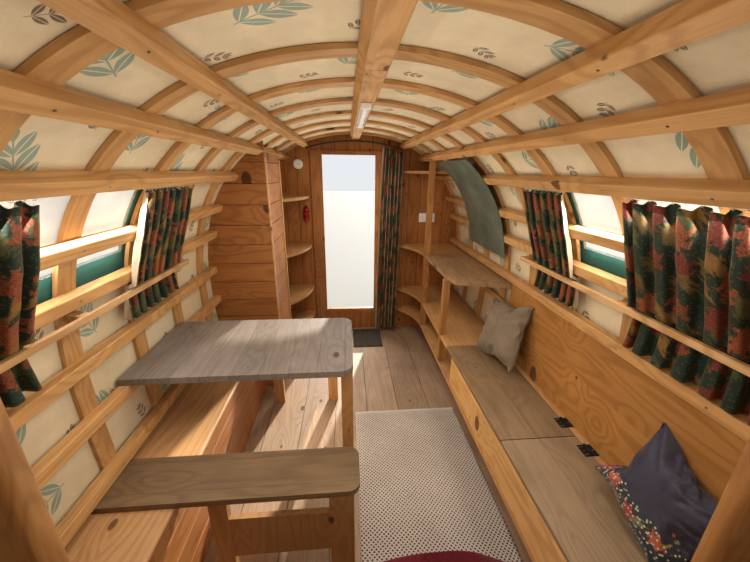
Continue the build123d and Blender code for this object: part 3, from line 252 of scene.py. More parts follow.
# sawn boards: growth rings that run with the grain, fibre, knots, a tone for each board
def makeTimber(name, look):
    material, tree, shader = startMaterial(name, Roughness=look["roughness"], Specular_IOR_Level=0.35)
    spot = addNode(tree, "TexCoord").outputs["Object"]
    part = addNode(tree, "SeparateXYZ", [spot]).outputs
    if look["grain"] == "bow":   # a bent rib, whose grain follows the hoop
        height = addNode(tree, "Math", [part["Z"], bowCentreZ], "SUBTRACT")
        along = addNode(tree, "Math", [part["X"], height], "ARCTAN2")
        across = part["Y"]
        flat = addNode(tree, "CombineXYZ", [part["X"], height])
        through = addNode(tree, "VectorMath", [flat], "LENGTH").outputs["Value"]
    else:
        across, along, through = (part[axis] for axis in timberAxes[look["grain"]])
    direction, first, pitch = look["boards"]
    stack = across if direction == "across" else through
    step = addNode(tree, "Math", [stack, 1 / pitch, -first / pitch], "MULTIPLY_ADD")
    index = addNode(tree, "Math", [step], "FLOOR")
    chance = addNode(tree, "TexWhiteNoise", {"W": index}, noise_dimensions="1D").outputs["Value"]
    slide = addNode(tree, "Math", [chance, 7.3, along], "MULTIPLY_ADD")
    lift = addNode(tree, "Math", [chance, 3.1, through], "MULTIPLY_ADD")
    grain = addNode(tree, "CombineXYZ", [across, slide, lift])
    # knots, as a branch leaves them: round on the face, drawn out through the board
    knotSide = addNode(tree, "Math", [lift, 0.35, across], "MULTIPLY_ADD")
    knotSide = addNode(tree, "Math", [chance, 5.7, knotSide], "MULTIPLY_ADD")
    knotLong = addNode(tree, "Math", [slide, 0.55], "MULTIPLY")
    knotSpot = addNode(tree, "CombineXYZ", [knotSide, knotLong])
    knotCells = addNode(
        tree, "TexVoronoi", {"Vector": knotSpot, "Scale": look["knots"]}, voronoi_dimensions="2D"
    ).outputs
    knotSize = addNode(tree, "SeparateXYZ", [knotCells["Color"]]).outputs["X"]
    knotSize = addNode(tree, "Math", [knotSize, look["knotSize"], -0.020], "MULTIPLY_ADD")
    knots = knotCells["Distance"]
    knotEdge = addNode(tree, "Math", [knotSize, 0.016], "SUBTRACT")
    knot = addNode(tree, "MapRange", [knots, knotSize, knotEdge, 0.0, 1.0])
    swirl = addNode(tree, "MapRange", [knots, 0.36, 0.0, 0.0, 0.20], interpolation_type="SMOOTHSTEP")
    # growth rings, as the level lines of a noise drawn out along the grain
    ringSpot = addNode(tree, "VectorMath", [grain, (1.0, 0.085, 0.8)], "MULTIPLY")
    figure = addNode(tree, "TexNoise", {
        "Vector": ringSpot, "Scale": look["figure"], "Detail": 1.5, "Roughness": 0.45
    })
    bent = addNode(tree, "Math", [figure, swirl], "ADD")
    wave = addNode(tree, "Math", [bent, look["rings"]], "MULTIPLY")
    wave = addNode(tree, "Math", [wave], "SINE")
    ring = addNode(tree, "MapRange", [wave, -0.2, 1.0, 0.0, look["contrast"]])
    fibreSpot = addNode(tree, "VectorMath", [grain, (1.0, 0.02, 1.0)], "MULTIPLY")
    fibre = addNode(tree, "TexNoise", {"Vector": fibreSpot, "Scale": 320.0, "Detail": 2.0})
    grime = addNode(tree, "TexNoise", {"Vector": spot, "Scale": 3.2, "Detail": 4.0, "Roughness": 0.6})
    colour = addNode(tree, "Mix", [ring, look["light"], look["dark"]])
    streak = addNode(tree, "MapRange", [fibre, 0.35, 0.7, 0.0, look["fibre"]])
    colour = addNode(tree, "Mix", [streak, colour, look["dark"]])
    knotMix = addNode(tree, "Math", [knot, look["knotShow"]], "MULTIPLY")
    colour = addNode(tree, "Mix", [knotMix, colour, look["knot"]])
    tone = addNode(tree, "MapRange", [chance, 0.0, 1.0, 1 - look["spread"], 1 + look["spread"]])
    soil = addNode(tree, "MapRange", [grime, 0.35, 0.7, 1.04, 1 - look["grime"]])
    tone = addNode(tree, "Math", [tone, soil], "MULTIPLY")
    colour = addNode(tree, "VectorMath", [colour, tone], "SCALE")
    height = addNode(tree, "Math", [ring, -0.4, fibre], "MULTIPLY_ADD")
    if look.get("joint"):   # a fine dark line between glued boards
        near = addNode(tree, "Math", [step], "FRACT")
        near = addNode(tree, "Math", [near, 0.5], "SUBTRACT")
        near = addNode(tree, "Math", [near], "ABSOLUTE")
        edge = 0.5 - look["joint"] / pitch
        line = addNode(tree, "MapRange", [near, edge, 0.5, 0.0, 0.75])
        colour = addNode(tree, "Mix", [line, colour, "#2b1b10"])
        height = addNode(tree, "Math", [line, -2.0, height], "MULTIPLY_ADD")
    rough = addNode(tree, "MapRange", [grime, 0.3, 0.7, look["roughness"] - 0.08, look["roughness"] + 0.1])
    if look.get("coat"):   # paint on the outer face only, with brush marks along the boards
        axis, beyond, sign, code = look["coat"]
        outside = addNode(tree, "Math", [part[axis], sign, -beyond * sign], "MULTIPLY_ADD")
        if look.get("bothSides"):
            wide = addNode(tree, "Math", [part[axis]], "ABSOLUTE")
            outside = addNode(tree, "Math", [wide, beyond], "SUBTRACT")
        painted = addNode(tree, "Math", [outside, 0.0], "GREATER_THAN")
        if look.get("bareInside"):   # no paint on the faces that look into the cabin
            facing = addNode(tree, "NewGeometry").outputs["True Normal"]
            facing = addNode(tree, "SeparateXYZ", [facing]).outputs["X"]
            facing = addNode(tree, "Math", [facing, part["X"]], "MULTIPLY")
            facing = addNode(tree, "Math", [facing, -0.3], "GREATER_THAN")
            painted = addNode(tree, "Math", [painted, facing], "MULTIPLY")
        brush = addNode(tree, "TexNoise", {"Vector": fibreSpot, "Scale": 90.0, "Detail": 3.0})
        shade = addNode(tree, "MapRange", [brush, 0.3, 0.7, 0.86, 1.12])
        shade = addNode(tree, "Math", [shade, soil], "MULTIPLY")
        layer = addNode(tree, "VectorMath", [toLinear(code)[:3], shade], "SCALE")
        colour = addNode(tree, "Mix", [painted, colour, layer])
        rough = addNode(tree, "Mix", [painted, rough, coatRoughness], data_type="FLOAT")
        height = addNode(tree, "Mix", [painted, height, brush], data_type="FLOAT")
    bump = addNode(tree, "Bump", {"Strength": look["bump"], "Distance": 0.0015, "Height": height})
    feed(tree, shader, Base_Color=colour, Roughness=rough, Normal=bump)
    return material


pine = {
    "light": "#c9995f", "dark": "#a06f3a", "knot": "#54301a", "knotShow": 0.85, "knots": 3.6,
    "knotSize": 0.085, "figure": 9.0, "rings": 62.0, "contrast": 0.5, "fibre": 0.3, "spread": 0.10,
    "grime": 0.14, "roughness": 0.5, "bump": 0.25,
    "grain": "y", "boards": ("across", 0.0, 0.24),
}
wallPine = {
    **pine, "knots": 4.6, "knotSize": 0.11, "light": "#a56c3a", "dark": "#7e4a21", "knot": "#3d1f0d",
    "spread": 0.12, "roughness": 0.45
}
greyBoards = {
    **pine, "light": "#8a7b66", "dark": "#6b5b49", "knot": "#46311e", "contrast": 0.42, "fibre": 0.5,
    "spread": 0.09, "grime": 0.2, "roughness": 0.6,
}
floorPine = {**greyBoards, "light": "#ab9075", "dark": "#886c50", "roughness": 0.38, "spread": 0.12}
ash = {**pine, "light": "#8d6a45", "dark": "#5f4226", "spread": 0.05, "roughness": 0.7}
bottleGreen = "#234a35"
ochre = "#a0762f"
outerFront = frontY + 0.016
ledgePine = {**pine, "light": "#c29361", "coat": ("X", 1.012, 1, bottleGreen), "bothSides": True}
shelfPine = {**pine, "light": "#b98a58"}
outerDoor = {**pine, "grain": "z", "coat": ("Z", 0.0, 1, bottleGreen)}

timbers = {
    "sole_bars": ash, "cross_bearers": {**ash, "grain": "x", "boards": ("across", 0.0, 0.6)},
    "floor_boards": {
        **floorPine, "joint": 0.0030, "boards": ("across", floorBoards["first"], floorBoards["pitch"]),
    },
    "side_boards": {**wallPine, "boards": ("through", floorTop, 0.118), "coat": ("X", 0.729, 1, bottleGreen),
        "bothSides": True, "bareInside": True},
    "ledge_left": ledgePine, "ledge_right": ledgePine,
    "ledge_brackets": {**pine, "coat": ("X", 0.0, 1, ochre), "bothSides": True},
    "bow_ribs": {**pine, "light": "#c4955c", "dark": "#9d6d3b", "grain": "bow",
        "boards": ("across", -0.17, 0.341), "knots": 3.0},
    "ridge_beam": pine, "purlins": {**pine, "boards": ("across", -0.03, 0.19)},
    "crown_boards": {**pine, "grain": "bow", "coat": ("Z", 0.0, 1, ochre)},
    "front_wall": {**wallPine, "grain": "z", "joint": 0.0022, "boards": ("across", 0.050, 0.115),
        "coat": ("Y", outerFront, 1, bottleGreen)},
    "rear_wall": {**wallPine, "grain": "z", "joint": 0.0022, "boards": ("across", 0.050, 0.115),
        "coat": ("Y", rearY - 0.012, -1, bottleGreen)},
    "door_frame": {**wallPine, "light": "#a87142", "grain": "z", "coat": ("Y", outerFront, 1, ochre)},
    "rear_sash": {**pine, "grain": "z", "coat": ("Y", rearY - 0.012, -1, ochre)},
    "wardrobe_front": {**wallPine, "grain": "x", "joint": 0.0026,
        "boards": ("through", floorTop + 0.076, 0.131)},
    "wardrobe_side": {**wallPine, "joint": 0.0026, "boards": ("through", floorTop + 0.076, 0.131)},
    "wardrobe_stiles": {**pine, "light": "#cfa36b", "grain": "z"},
    "corner_shelves": shelfPine,
    # the posts' pine is painted darker than the rest: painted shade
    "counter_posts": {**pine, "light": "#a87643", "dark": "#80552b", "grain": "z"},
    "worktop": {**greyBoards, "light": "#a5835c", "dark": "#7b5b3b", "joint": 0.0016,
        "boards": ("across", 0.60, 0.115)},
    "counter_shelf": shelfPine, "base_shelf": shelfPine,
    # the bench front's pine is painted lighter than the rest: painted light, as bounced off the sunlit floor
    "bench_front": {**pine, "light": "#dca968", "dark": "#b07c42", "knots": 5.0, "knotSize": 0.12,
        "boards": ("through", floorTop + 0.10, 0.16)},
    "bench_ends": {**pine, "grain": "x"},
    "bench_back": {**pine, "light": "#b27d41", "dark": "#8c5826", "knots": 6.0, "knotSize": 0.14,
        "boards": ("through", ledgeTop - 0.02, 0.26)},
    "cheek_boards": {**pine, "light": "#a06f3c", "dark": "#7c5128", "grain": "z"},
    "bed_base": {**pine, "grain": "x", "boards": ("across", rearY, 0.14)},
    "table_top": {**greyBoards, "light": "#82766a", "dark": "#635648", "roughness": 0.44, "joint": 0.0018,
        "boards": ("across", -1.04, 0.118)},
    "seat_tops": {**greyBoards, "light": "#7a6040", "dark": "#5a442d", "grain": "x", "joint": 0.001,
        "boards": ("across", 0.0, 0.13)},
    "board_legs": {**pine, "light": "#bb8a55", "grain": "z"},
    "curtain_rails": {**pine, "light": "#d0a673", "coat": ("Y", frontY - 0.150, 1, "#2b2420")},
    # the near lid is painted lighter than the far lid of the same boards: painted light
    "lid_near": {**greyBoards, "light": "#997f5e", "dark": "#765f45", "joint": 0.0014,
        "boards": ("across", 0.59, 0.178)},
    "lid_far": {**greyBoards, "light": "#8b7150", "dark": "#6a5238", "joint": 0.0014,
        "boards": ("across", 0.59, 0.178)},
    "door_upper": outerDoor, "door_lower": outerDoor,
}


def coverNode(node, material):   # a carried-over piece takes a finish in place of its plain one
    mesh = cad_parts[node].data
    mesh.materials.clear()
    mesh.materials.append(material)


for node, look in timbers.items():
    coverNode(node, makeTimber(node.replace("_", "") + "Timber", look))
print("timber done:", len(timbers))


# sheet or wrought iron: even colour broken by handling, with a fine orange-peel or hammered bump
def makeMetal(name, look):
    material, tree, shader = startMaterial(name, Metallic=look["metallic"], Specular_IOR_Level=0.5)
    spot = addNode(tree, "TexCoord").outputs["Object"]
    cloud = addNode(tree, "TexNoise", {
        "Vector": spot, "Scale": look["cloud"], "Detail": 5.0, "Roughness": 0.6
    })
    fine = addNode(tree, "TexNoise", {"Vector": spot, "Scale": look["fine"], "Detail": 2.0})
    mix = addNode(tree, "MapRange", [cloud, 0.35, 0.68, 0.0, 1.0])
    colour = addNode(tree, "Mix", [mix, look["light"], look["dark"]])
    rough = addNode(tree, "MapRange", [cloud, 0.3, 0.7, look["roughness"] - 0.1, look["roughness"] + 0.12])
    bump = addNode(tree, "Bump", {"Strength": look["bump"], "Distance": 0.0006, "Height": fine})
    feed(tree, shader, Base_Color=colour, Roughness=rough, Normal=bump)
    return material


# Forged iron: black wax finish, dull with worn grey patches
blackIron = makeMetal("waxedWroughtIron", {
    "light": "#2a2a2b", "dark": "#141314", "metallic": 0.6, "roughness": 0.55, "cloud": 22.0, "fine": 240.0,
    "bump": 0.35
})
# Painted steel sheet: grey-green, faintly mottled by heat and wiping
shieldPaint = makeMetal("enamelledSteelSheet", {
    "light": "#636a5a", "dark": "#4c5246", "metallic": 0.0, "roughness": 0.42, "cloud": 5.0, "fine": 160.0,
    "bump": 0.12
})
ironwork = [
    "lid_hinges", "lid_leaves_near", "lid_leaves_far", "door_pintles", "door_straps_upper",
    "door_straps_lower"
]
for node in ironwork:
    coverNode(node, blackIron)
coverNode("heat_shield", shieldPaint)

# Clear vinyl: lets most light through, slightly milky, soft ripples
clearVinyl, vinylTree, vinylShader = startMaterial(
    "pressedClearVinyl", Base_Color="#eef3f3", Roughness=0.12, Alpha=0.28
)
spot = addNode(vinylTree, "TexCoord").outputs["Object"]
swell = addNode(vinylTree, "TexNoise", {"Vector": spot, "Scale": 7.0, "Detail": 1.0})
swell = addNode(vinylTree, "Bump", {"Strength": 0.4, "Distance": 0.004, "Height": swell})
feed(vinylTree, vinylShader, Normal=swell)
coverNode("window_panels", clearVinyl)
print("metal and clear panels done")

# Shared steps for the pieces that are made here


# a new piece, with its place on the flat cut, in metres, as a UV map
def buildMesh(name, points, faces, flat=None):
    mesh = bpy.data.meshes.new(name)
    mesh.from_pydata([tuple(p) for p in points], [], faces)
    if flat is not None:
        layer = mesh.uv_layers.new(name="flat")
        order = np.empty(len(mesh.loops), np.int32)
        mesh.loops.foreach_get("vertex_index", order)
        layer.data.foreach_set("uv", np.asarray(flat, np.float32)[order].ravel())
    piece = addObject(name, mesh)
    mesh.shade_smooth()
    return piece


# rows of points as cloth, with holes where keep says no
def buildSheet(name, points, flat, keep=None, flip=False):
    high, wide = points.shape[:2]
    faces = []
    for row in range(high - 1):
        for place in range(wide - 1):
            if keep is None or keep(row, place):
                corner = row * wide + place
                face = (corner, corner + 1, corner + wide + 1, corner + wide)
                faces.append(face[::-1] if flip else face)
    piece = buildMesh(name, points.reshape(-1, 3), faces, flat.reshape(-1, 2))
    shape = bmesh.new()
    shape.from_mesh(piece.data)
    bmesh.ops.delete(shape, geom=[v for v in shape.verts if not v.link_faces], context="VERTS")
    shape.to_mesh(piece.data)
    shape.free()
    return piece


def settle(piece):   # makes the piece's modifiers part of its mesh
    graph = bpy.context.evaluated_depsgraph_get()
    mesh = bpy.data.meshes.new_from_object(
        piece.evaluated_get(graph), preserve_all_data_layers=True, depsgraph=graph
    )
    piece.modifiers.clear()
    piece.data = mesh
    return piece


def thicken(piece, thick, finishes):   # gives cloth its thickness, with one finish or a front, back and edge
    for finish in finishes:
        piece.data.materials.append(finish)
    solid = piece.modifiers.new("thickness", "SOLIDIFY")
    solid.thickness = thick
    solid.offset = 0.0
    if len(finishes) > 1:
        solid.material_offset = 1
        solid.material_offset_rim = 1
    return settle(piece)


# hangs the piece on its body, in place of CAD nodes; its finish slot is not used
def fit(piece, slot, *nodes, body="cabin"):
    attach(piece, body)
    if nodes:
        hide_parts(*nodes)
    return piece


def stations(first, last, step, stops=()):   # even steps from end to end that also meet every stop
    marks = sorted({first, last, *(s for s in stops if first < s < last)})
    runs = [np.linspace(a, b, max(1, round((b - a) / step)) + 1)[:-1] for a, b in zip(marks, marks[1:])]
    return np.concatenate(runs + [[last]])


def ripple(x, y, z=0.0):   # smooth noise from -1 to 1
    return noise.noise(Vector((x, y, z)))


def tubeMesh(points, radius, sides=8, closed=False):   # a round tube along points, as points and faces
    count = len(points)
    rings, faces = [], []
    before = None
    for index, point in enumerate(points):
        ahead = points[(index + 1) % count] if closed or index + 1 < count else point
        behind = points[index - 1] if closed or index else point
        along = (ahead - behind).normalized()
        across = along.orthogonal() if before is None else before - along * before.dot(along)
        before = across.normalized()
        other = along.cross(before)
        for side in range(sides):
            angle = 2 * math.pi * side / sides
            rings.append(point + (before * math.cos(angle) + other * math.sin(angle)) * radius)
    for index in range(count if closed else count - 1):
        here, there = index * sides, (index + 1) % count * sides
        for side in range(sides):
            after = (side + 1) % sides
            faces.append((here + side, here + after, there + after, there + side))
    if not closed:
        faces += [tuple(range(sides))[::-1], tuple(range((count - 1) * sides, count * sides))]
    return rings, faces


# a turned shape: radius and height rows, closed at both ends
def turnPiece(name, profile, place, way, steps=40):
    twist = Vector(way).to_track_quat("Z", "Y")
    points, faces, rows = [], [], []
    for radius, height in profile:
        if radius == 0:
            rows.append([len(points)])
            points.append(Vector(place) + twist @ Vector((0, 0, height)))
            continue
        rows.append(list(range(len(points), len(points) + steps)))
        for step in range(steps):
            angle = 2 * math.pi * step / steps
            points.append(
                Vector(place) + twist @ Vector((radius * math.cos(angle), radius * math.sin(angle), height))
            )
    for low, high in zip(rows, rows[1:]):
        for step in range(steps):
            face = [
                low[step % len(low)], low[(step + 1) % len(low)], high[(step + 1) % len(high)],
                high[step % len(high)]
            ]
            faces.append(tuple(dict.fromkeys(face)))
    return buildMesh(name, points, faces)


def easedBox(name, low, high, ease, steps=2):   # a block with eased edges
    shape = bmesh.new()
    middle = (Vector(low) + Vector(high)) / 2
    size = Vector(high) - Vector(low)
    bmesh.ops.create_cube(shape, size=1.0, matrix=Matrix.Translation(middle) @ Matrix.Diagonal((*size, 1.0)))
    bmesh.ops.bevel(shape, geom=shape.edges[:], offset=ease, segments=steps, profile=0.5, affect="EDGES")
    mesh = bpy.data.meshes.new(name)
    shape.to_mesh(mesh)
    shape.free()
    return addObject(name, mesh)


def paint(piece, *finishes):
    for finish in finishes:
        piece.data.materials.append(finish)
    return piece


def fasten(piece, finish, *nodes):   # a small fitting in its finish
    return fit(paint(piece, finish), "white_plastic", *nodes)


# Cloth finishes


# a printed sprig of paired leaves, one to a cell of a half-drop repeat; 1 on the ink
def addSprig(tree, flat, look):
    wide, high = look["cell"]
    grid = addNode(tree, "VectorMath", [flat, (1 / wide, 1 / high, 0), look["start"]], "MULTIPLY_ADD")
    row = addNode(tree, "Math", [addNode(tree, "SeparateXYZ", [grid]).outputs["Y"]], "FLOOR")
    drop = addNode(tree, "CombineXYZ", [addNode(tree, "Math", [row, 0.5], "MULTIPLY")])
    grid = addNode(tree, "VectorMath", [grid, drop], "ADD")
    cell = addNode(tree, "VectorMath", [grid], "FLOOR")
    inside = addNode(tree, "VectorMath", [grid, cell], "SUBTRACT")
    chance = addNode(tree, "TexWhiteNoise", {"Vector": cell}, noise_dimensions="2D").outputs["Color"]
    shift = addNode(tree, "VectorMath", [chance, (0.24, 0.24, 0), (0.38, 0.38, 0)], "MULTIPLY_ADD")
    inside = addNode(tree, "VectorMath", [inside, shift], "SUBTRACT")
    inside = addNode(tree, "VectorMath", [inside, (wide, high, 0)], "MULTIPLY")
    spin = addNode(tree, "SeparateXYZ", [chance]).outputs["Z"]
    spin = addNode(tree, "Math", [spin, look["spin"], look["lean"]], "MULTIPLY_ADD")
    turned = addNode(tree, "VectorRotate", {"Vector": inside, "Angle": spin}, rotation_type="Z_AXIS")
    part = addNode(tree, "SeparateXYZ", [turned]).outputs
    off = addNode(tree, "Math", [part["Y"]], "ABSOLUTE")
    folded = addNode(tree, "CombineXYZ", [part["X"], off])
    size = look["size"]
    reach = addNode(tree, "Math", [part["X"]], "ABSOLUTE")
    reach = addNode(tree, "Math", [0.42 * size, reach], "SUBTRACT")
    stem = addNode(tree, "Math", [0.011 * size, off], "SUBTRACT")
    ink = addNode(tree, "Math", [reach, stem], "MINIMUM")
    # where it leaves the stem, its tilt, length and half width
    for start, tilt, long, broad in look["leaves"]:
        leaf = addNode(tree, "VectorMath", [folded, (start * size, 0, 0)], "SUBTRACT")
        leaf = addNode(tree, "VectorRotate", {"Vector": leaf, "Angle": -tilt}, rotation_type="Z_AXIS")
        leaf = addNode(tree, "SeparateXYZ", [leaf]).outputs
        along = addNode(tree, "Math", [leaf["X"], 2 / (long * size), -1.0], "MULTIPLY_ADD")
        along = addNode(tree, "Math", [along, along], "MULTIPLY")
        width = addNode(tree, "Math", [along, -broad * size, broad * size], "MULTIPLY_ADD")
        aside = addNode(tree, "Math", [leaf["Y"]], "ABSOLUTE")
        blade = addNode(tree, "Math", [width, aside], "SUBTRACT")
        vein = addNode(tree, "Math", [aside, 0.006 * size], "SUBTRACT")
        blade = addNode(tree, "Math", [blade, vein], "MINIMUM")
        ink = addNode(tree, "Math", [ink, blade], "MAXIMUM")
    return addNode(tree, "MapRange", [ink, -0.0004, 0.0008, 0.0, 1.0])


# a printed floral: curled rosettes, flame-shaped leaves and seed dots on a dark ground
def addBlooms(tree, flat, look):
    haze = addNode(
        tree, "TexNoise", {"Vector": flat, "Scale": 11.0, "Detail": 5.0, "Roughness": 0.68},
        noise_dimensions="2D"
    )
    swing = addNode(tree, "VectorMath", [haze.outputs["Color"], (0.050, 0.050, 0), flat], "MULTIPLY_ADD")
    colour = addNode(tree, "Mix", [haze.outputs[0], look["ground"], look["groundToo"]])
    # leaves, long, pointed and ragged like flames
    leafSpot = addNode(tree, "VectorRotate", {"Vector": swing, "Angle": 0.6}, rotation_type="Z_AXIS")
    leafSpot = addNode(tree, "VectorMath", [leafSpot, (1.0, 0.42, 0)], "MULTIPLY")
    leaf = addNode(
        tree, "TexVoronoi", {"Vector": leafSpot, "Scale": look["leaves"], "Randomness": 0.8},
        voronoi_dimensions="2D", distance="MANHATTAN"
    )
    streakSpot = addNode(tree, "VectorMath", [leafSpot, (150.0, 24.0, 0)], "MULTIPLY")
    streak = addNode(
        tree, "TexNoise", {"Vector": streakSpot, "Scale": 1.0, "Detail": 2.0}, noise_dimensions="2D"
    )
    frayed = addNode(tree, "Math", [streak, 0.62, leaf.outputs["Distance"]], "MULTIPLY_ADD")
    blade = addNode(tree, "MapRange", [frayed, 0.70, 0.60, 0.0, look["leafShow"]])
    leafTone = addNode(tree, "SeparateXYZ", [leaf.outputs["Color"]]).outputs
    colour = addNode(
        tree, "Mix", [blade, colour, addNode(tree, "Mix", [leafTone["X"], look["leaf"], look["leafToo"]])]
    )
    # rosettes with curled petals and frayed edges
    bloom = addNode(
        tree, "TexVoronoi", {"Vector": swing, "Scale": look["blooms"], "Randomness": 0.55},
        voronoi_dimensions="2D"
    )
    away = addNode(tree, "VectorMath", [swing, bloom.outputs["Position"]], "SUBTRACT")
    part = addNode(tree, "SeparateXYZ", [away]).outputs
    angle = addNode(tree, "Math", [part["Y"], part["X"]], "ARCTAN2")
    far = addNode(tree, "Math", [bloom.outputs["Distance"], 1 / look["blooms"]], "MULTIPLY")
    petal = addNode(tree, "Math", [angle, 7.0], "MULTIPLY")
    curl = addNode(tree, "Math", [far, 90.0, petal], "MULTIPLY_ADD")
    petal = addNode(tree, "Math", [curl], "SINE")
    reach = addNode(tree, "Math", [petal, look["bloomWide"] * 0.24, look["bloomWide"]], "MULTIPLY_ADD")
    fray = addNode(tree, "TexNoise", {"Vector": flat, "Scale": 95.0, "Detail": 3.0}, noise_dimensions="2D")
    reach = addNode(tree, "Math", [fray, look["bloomWide"] * 0.9, reach], "MULTIPLY_ADD")
    reach = addNode(tree, "Math", [reach, look["bloomWide"] * 0.45], "SUBTRACT")
    body = addNode(tree, "Math", [reach, far], "SUBTRACT")
    body = addNode(tree, "MapRange", [body, 0.0, 0.003, 0.0, 0.92])
    rings = addNode(tree, "Math", [petal, 1.6], "MULTIPLY")
    rings = addNode(tree, "Math", [far, 2 * math.pi / 0.0085, rings], "MULTIPLY_ADD")
    rings = addNode(tree, "Math", [rings], "SINE")
    rings = addNode(tree, "MapRange", [rings, -0.1, 0.9, 0.0, 0.6])
    tone = addNode(tree, "SeparateXYZ", [bloom.outputs["Color"]]).outputs
    pick = addNode(tree, "Math", [fray, 0.9, tone["Y"]], "MULTIPLY_ADD")
    pick = addNode(tree, "MapRange", [pick, 0.75, 1.15, 0.0, 1.0])
    flower = addNode(
        tree, "Mix", [rings, addNode(tree, "Mix", [pick, look["bloom"], look["bloomToo"]]), look["petalLine"]]
    )
    colour = addNode(tree, "Mix", [body, colour, flower])
    # seed dots
    seed = addNode(
        tree, "TexVoronoi", {"Vector": flat, "Scale": 62.0, "Randomness": 1.0}, voronoi_dimensions="2D"
    )
    dot = addNode(tree, "MapRange", [seed.outputs["Distance"], 0.22, 0.16, 0.0, look["dots"]])
    return addNode(tree, "Mix", [dot, colour, look["dot"]])


# woven cloth: its threads in relief, a soft mottle, a nap that catches light
def makeCloth(name, look, pattern=None):
    material, tree, shader = startMaterial(
        name, Roughness=look["roughness"], Specular_IOR_Level=look["gloss"], Sheen_Weight=look["sheen"],
        Sheen_Roughness=0.45, Sheen_Tint=look["sheenTint"]
    )
    flat = addNode(tree, "UVMap", uv_map="flat").outputs[0]
    colour = pattern(tree, flat, look) if pattern else toLinear(look["colour"])[:3]
    mottle = addNode(
        tree, "TexNoise", {"Vector": flat, "Scale": look["mottle"], "Detail": 4.0, "Roughness": 0.65},
        noise_dimensions="2D"
    )
    shade = addNode(tree, "MapRange", [mottle, 0.3, 0.7, 1 - look["vary"], 1 + look["vary"]])
    threads = addNode(tree, "VectorMath", [flat, 2 * math.pi / look["thread"]], "SCALE")
    threads = addNode(tree, "VectorMath", [threads], "SINE")
    part = addNode(tree, "SeparateXYZ", [threads]).outputs
    weave = addNode(tree, "Math", [part["X"], part["Y"]], "MULTIPLY")
    slub = addNode(tree, "TexNoise", {"Vector": flat, "Scale": 260.0, "Detail": 1.0}, noise_dimensions="2D")
    height = addNode(tree, "Math", [slub, 1.4, weave], "MULTIPLY_ADD")
    tint = addNode(tree, "MapRange", [weave, -1.0, 1.0, 1 - look["show"], 1 + look["show"]])
    shade = addNode(tree, "Math", [shade, tint], "MULTIPLY")
    colour = addNode(tree, "VectorMath", [colour, shade], "SCALE")
    for line in look.get("seams", ()):   # a sewn seam: axis, place, pitch, or 0 for one only
        axis, place, pitch = line
        run = addNode(tree, "SeparateXYZ", [flat]).outputs[axis]
        if pitch:
            run = addNode(tree, "Math", [run, 1 / pitch, 0.5 - place / pitch], "MULTIPLY_ADD")
            run = addNode(tree, "Math", [run], "FRACT")
            run = addNode(tree, "Math", [run, pitch, -0.5 * pitch], "MULTIPLY_ADD")
        else:
            run = addNode(tree, "Math", [run, place], "SUBTRACT")
        run = addNode(tree, "Math", [run], "ABSOLUTE")
        dip = addNode(tree, "MapRange", [run, 0.0, 0.004, 1.0, 0.0])
        line = addNode(tree, "Math", [dip, 0.45], "MULTIPLY")
        colour = addNode(tree, "Mix", [line, colour, "#1a1712"])
        height = addNode(tree, "Math", [dip, -6.0, height], "MULTIPLY_ADD")
    bump = addNode(tree, "Bump", {"Strength": look["bump"], "Distance": 0.0008, "Height": height})
    feed(tree, shader, Base_Color=colour, Normal=bump)
    return material


plainCloth = {
    "roughness": 0.85, "gloss": 0.25, "sheen": 0.15, "sheenTint": "#ffffff", "mottle": 6.0, "vary": 0.08,
    "thread": 0.0028, "show": 0.05, "bump": 0.35
}


def printSprigs(tree, flat, look):   # pale lining cloth with leaf sprigs and small twigs
    ground = addNode(tree, "TexNoise", {"Vector": flat, "Scale": 2.0, "Detail": 3.0}, noise_dimensions="2D")
    ground = addNode(tree, "Mix", [ground.outputs[0], look["colour"], look["colourToo"]])
    colour = addNode(tree, "Mix", [addSprig(tree, flat, look["sprig"]), ground, look["sprigInk"]])
    return addNode(tree, "Mix", [addSprig(tree, flat, look["twig"]), colour, look["twigInk"]])


# Printed cotton lining, plain woven: matt cream with soft grey-green and brown ink
liningLook = {
    **plainCloth, "colour": "#decda9", "colourToo": "#cfb98f", "sprigInk": "#8b9a85", "twigInk": "#71604a",
    "thread": 0.003,
    "sprig": {
        "cell": (0.34, 0.341), "start": (0.1, 0.5, 0), "size": 0.20, "spin": 1.6, "lean": 0.2,
        "leaves": [
            (-0.36, 0.75, 0.40, 0.075), (-0.12, 0.70, 0.42, 0.085), (0.10, 0.62, 0.38, 0.075),
            (0.30, 0.0, 0.26, 0.055),
        ],
    },
    "twig": {
        "cell": (0.34, 0.341), "start": (0.6, 0.02, 0), "size": 0.078, "spin": 2.4, "lean": -0.9,
        "leaves": [
            (-0.30, 0.9, 0.42, 0.085), (-0.02, 0.85, 0.44, 0.09), (0.24, 0.7, 0.36, 0.08),
            (0.36, 0.0, 0.22, 0.06),
        ],
    },
}
liningPrint = makeCloth("printedCottonLining", liningLook, printSprigs)
# Proofed cotton duck: dull green-blue, heavy plain weave, seams across the roof
canvasDuck = makeCloth("proofedCottonDuck", {
    **plainCloth, "colour": "#2f6257", "mottle": 2.2, "vary": 0.16, "thread": 0.0036, "bump": 0.5,
    "sheen": 0.05, "seams": [("Y", 0.62, 1.14)]
})
canvasHem = makeCloth("proofedDuckBinding", {**plainCloth, "colour": "#27544b", "bump": 0.5, "sheen": 0.05})
# Printed cotton velvet: deep green with wine, rust and old gold, soft nap
floralLook = {
    **plainCloth, "ground": "#1d2f22", "groundToo": "#1a2a26", "leaves": 13.0, "leaf": "#8a5f2c",
    "leafToo": "#3a4a2c",
    "leafShow": 0.75, "blooms": 7.2, "bloomWide": 0.044, "bloom": "#6e2a26", "bloomToo": "#8c4a2c",
    "petalLine": "#3a2620",
    "dots": 0.15, "dot": "#8f7440", "sheen": 0.35, "sheenTint": "#c9a873", "vary": 0.16,
}
curtainVelvet = makeCloth("printedCottonVelvet", floralLook, addBlooms)
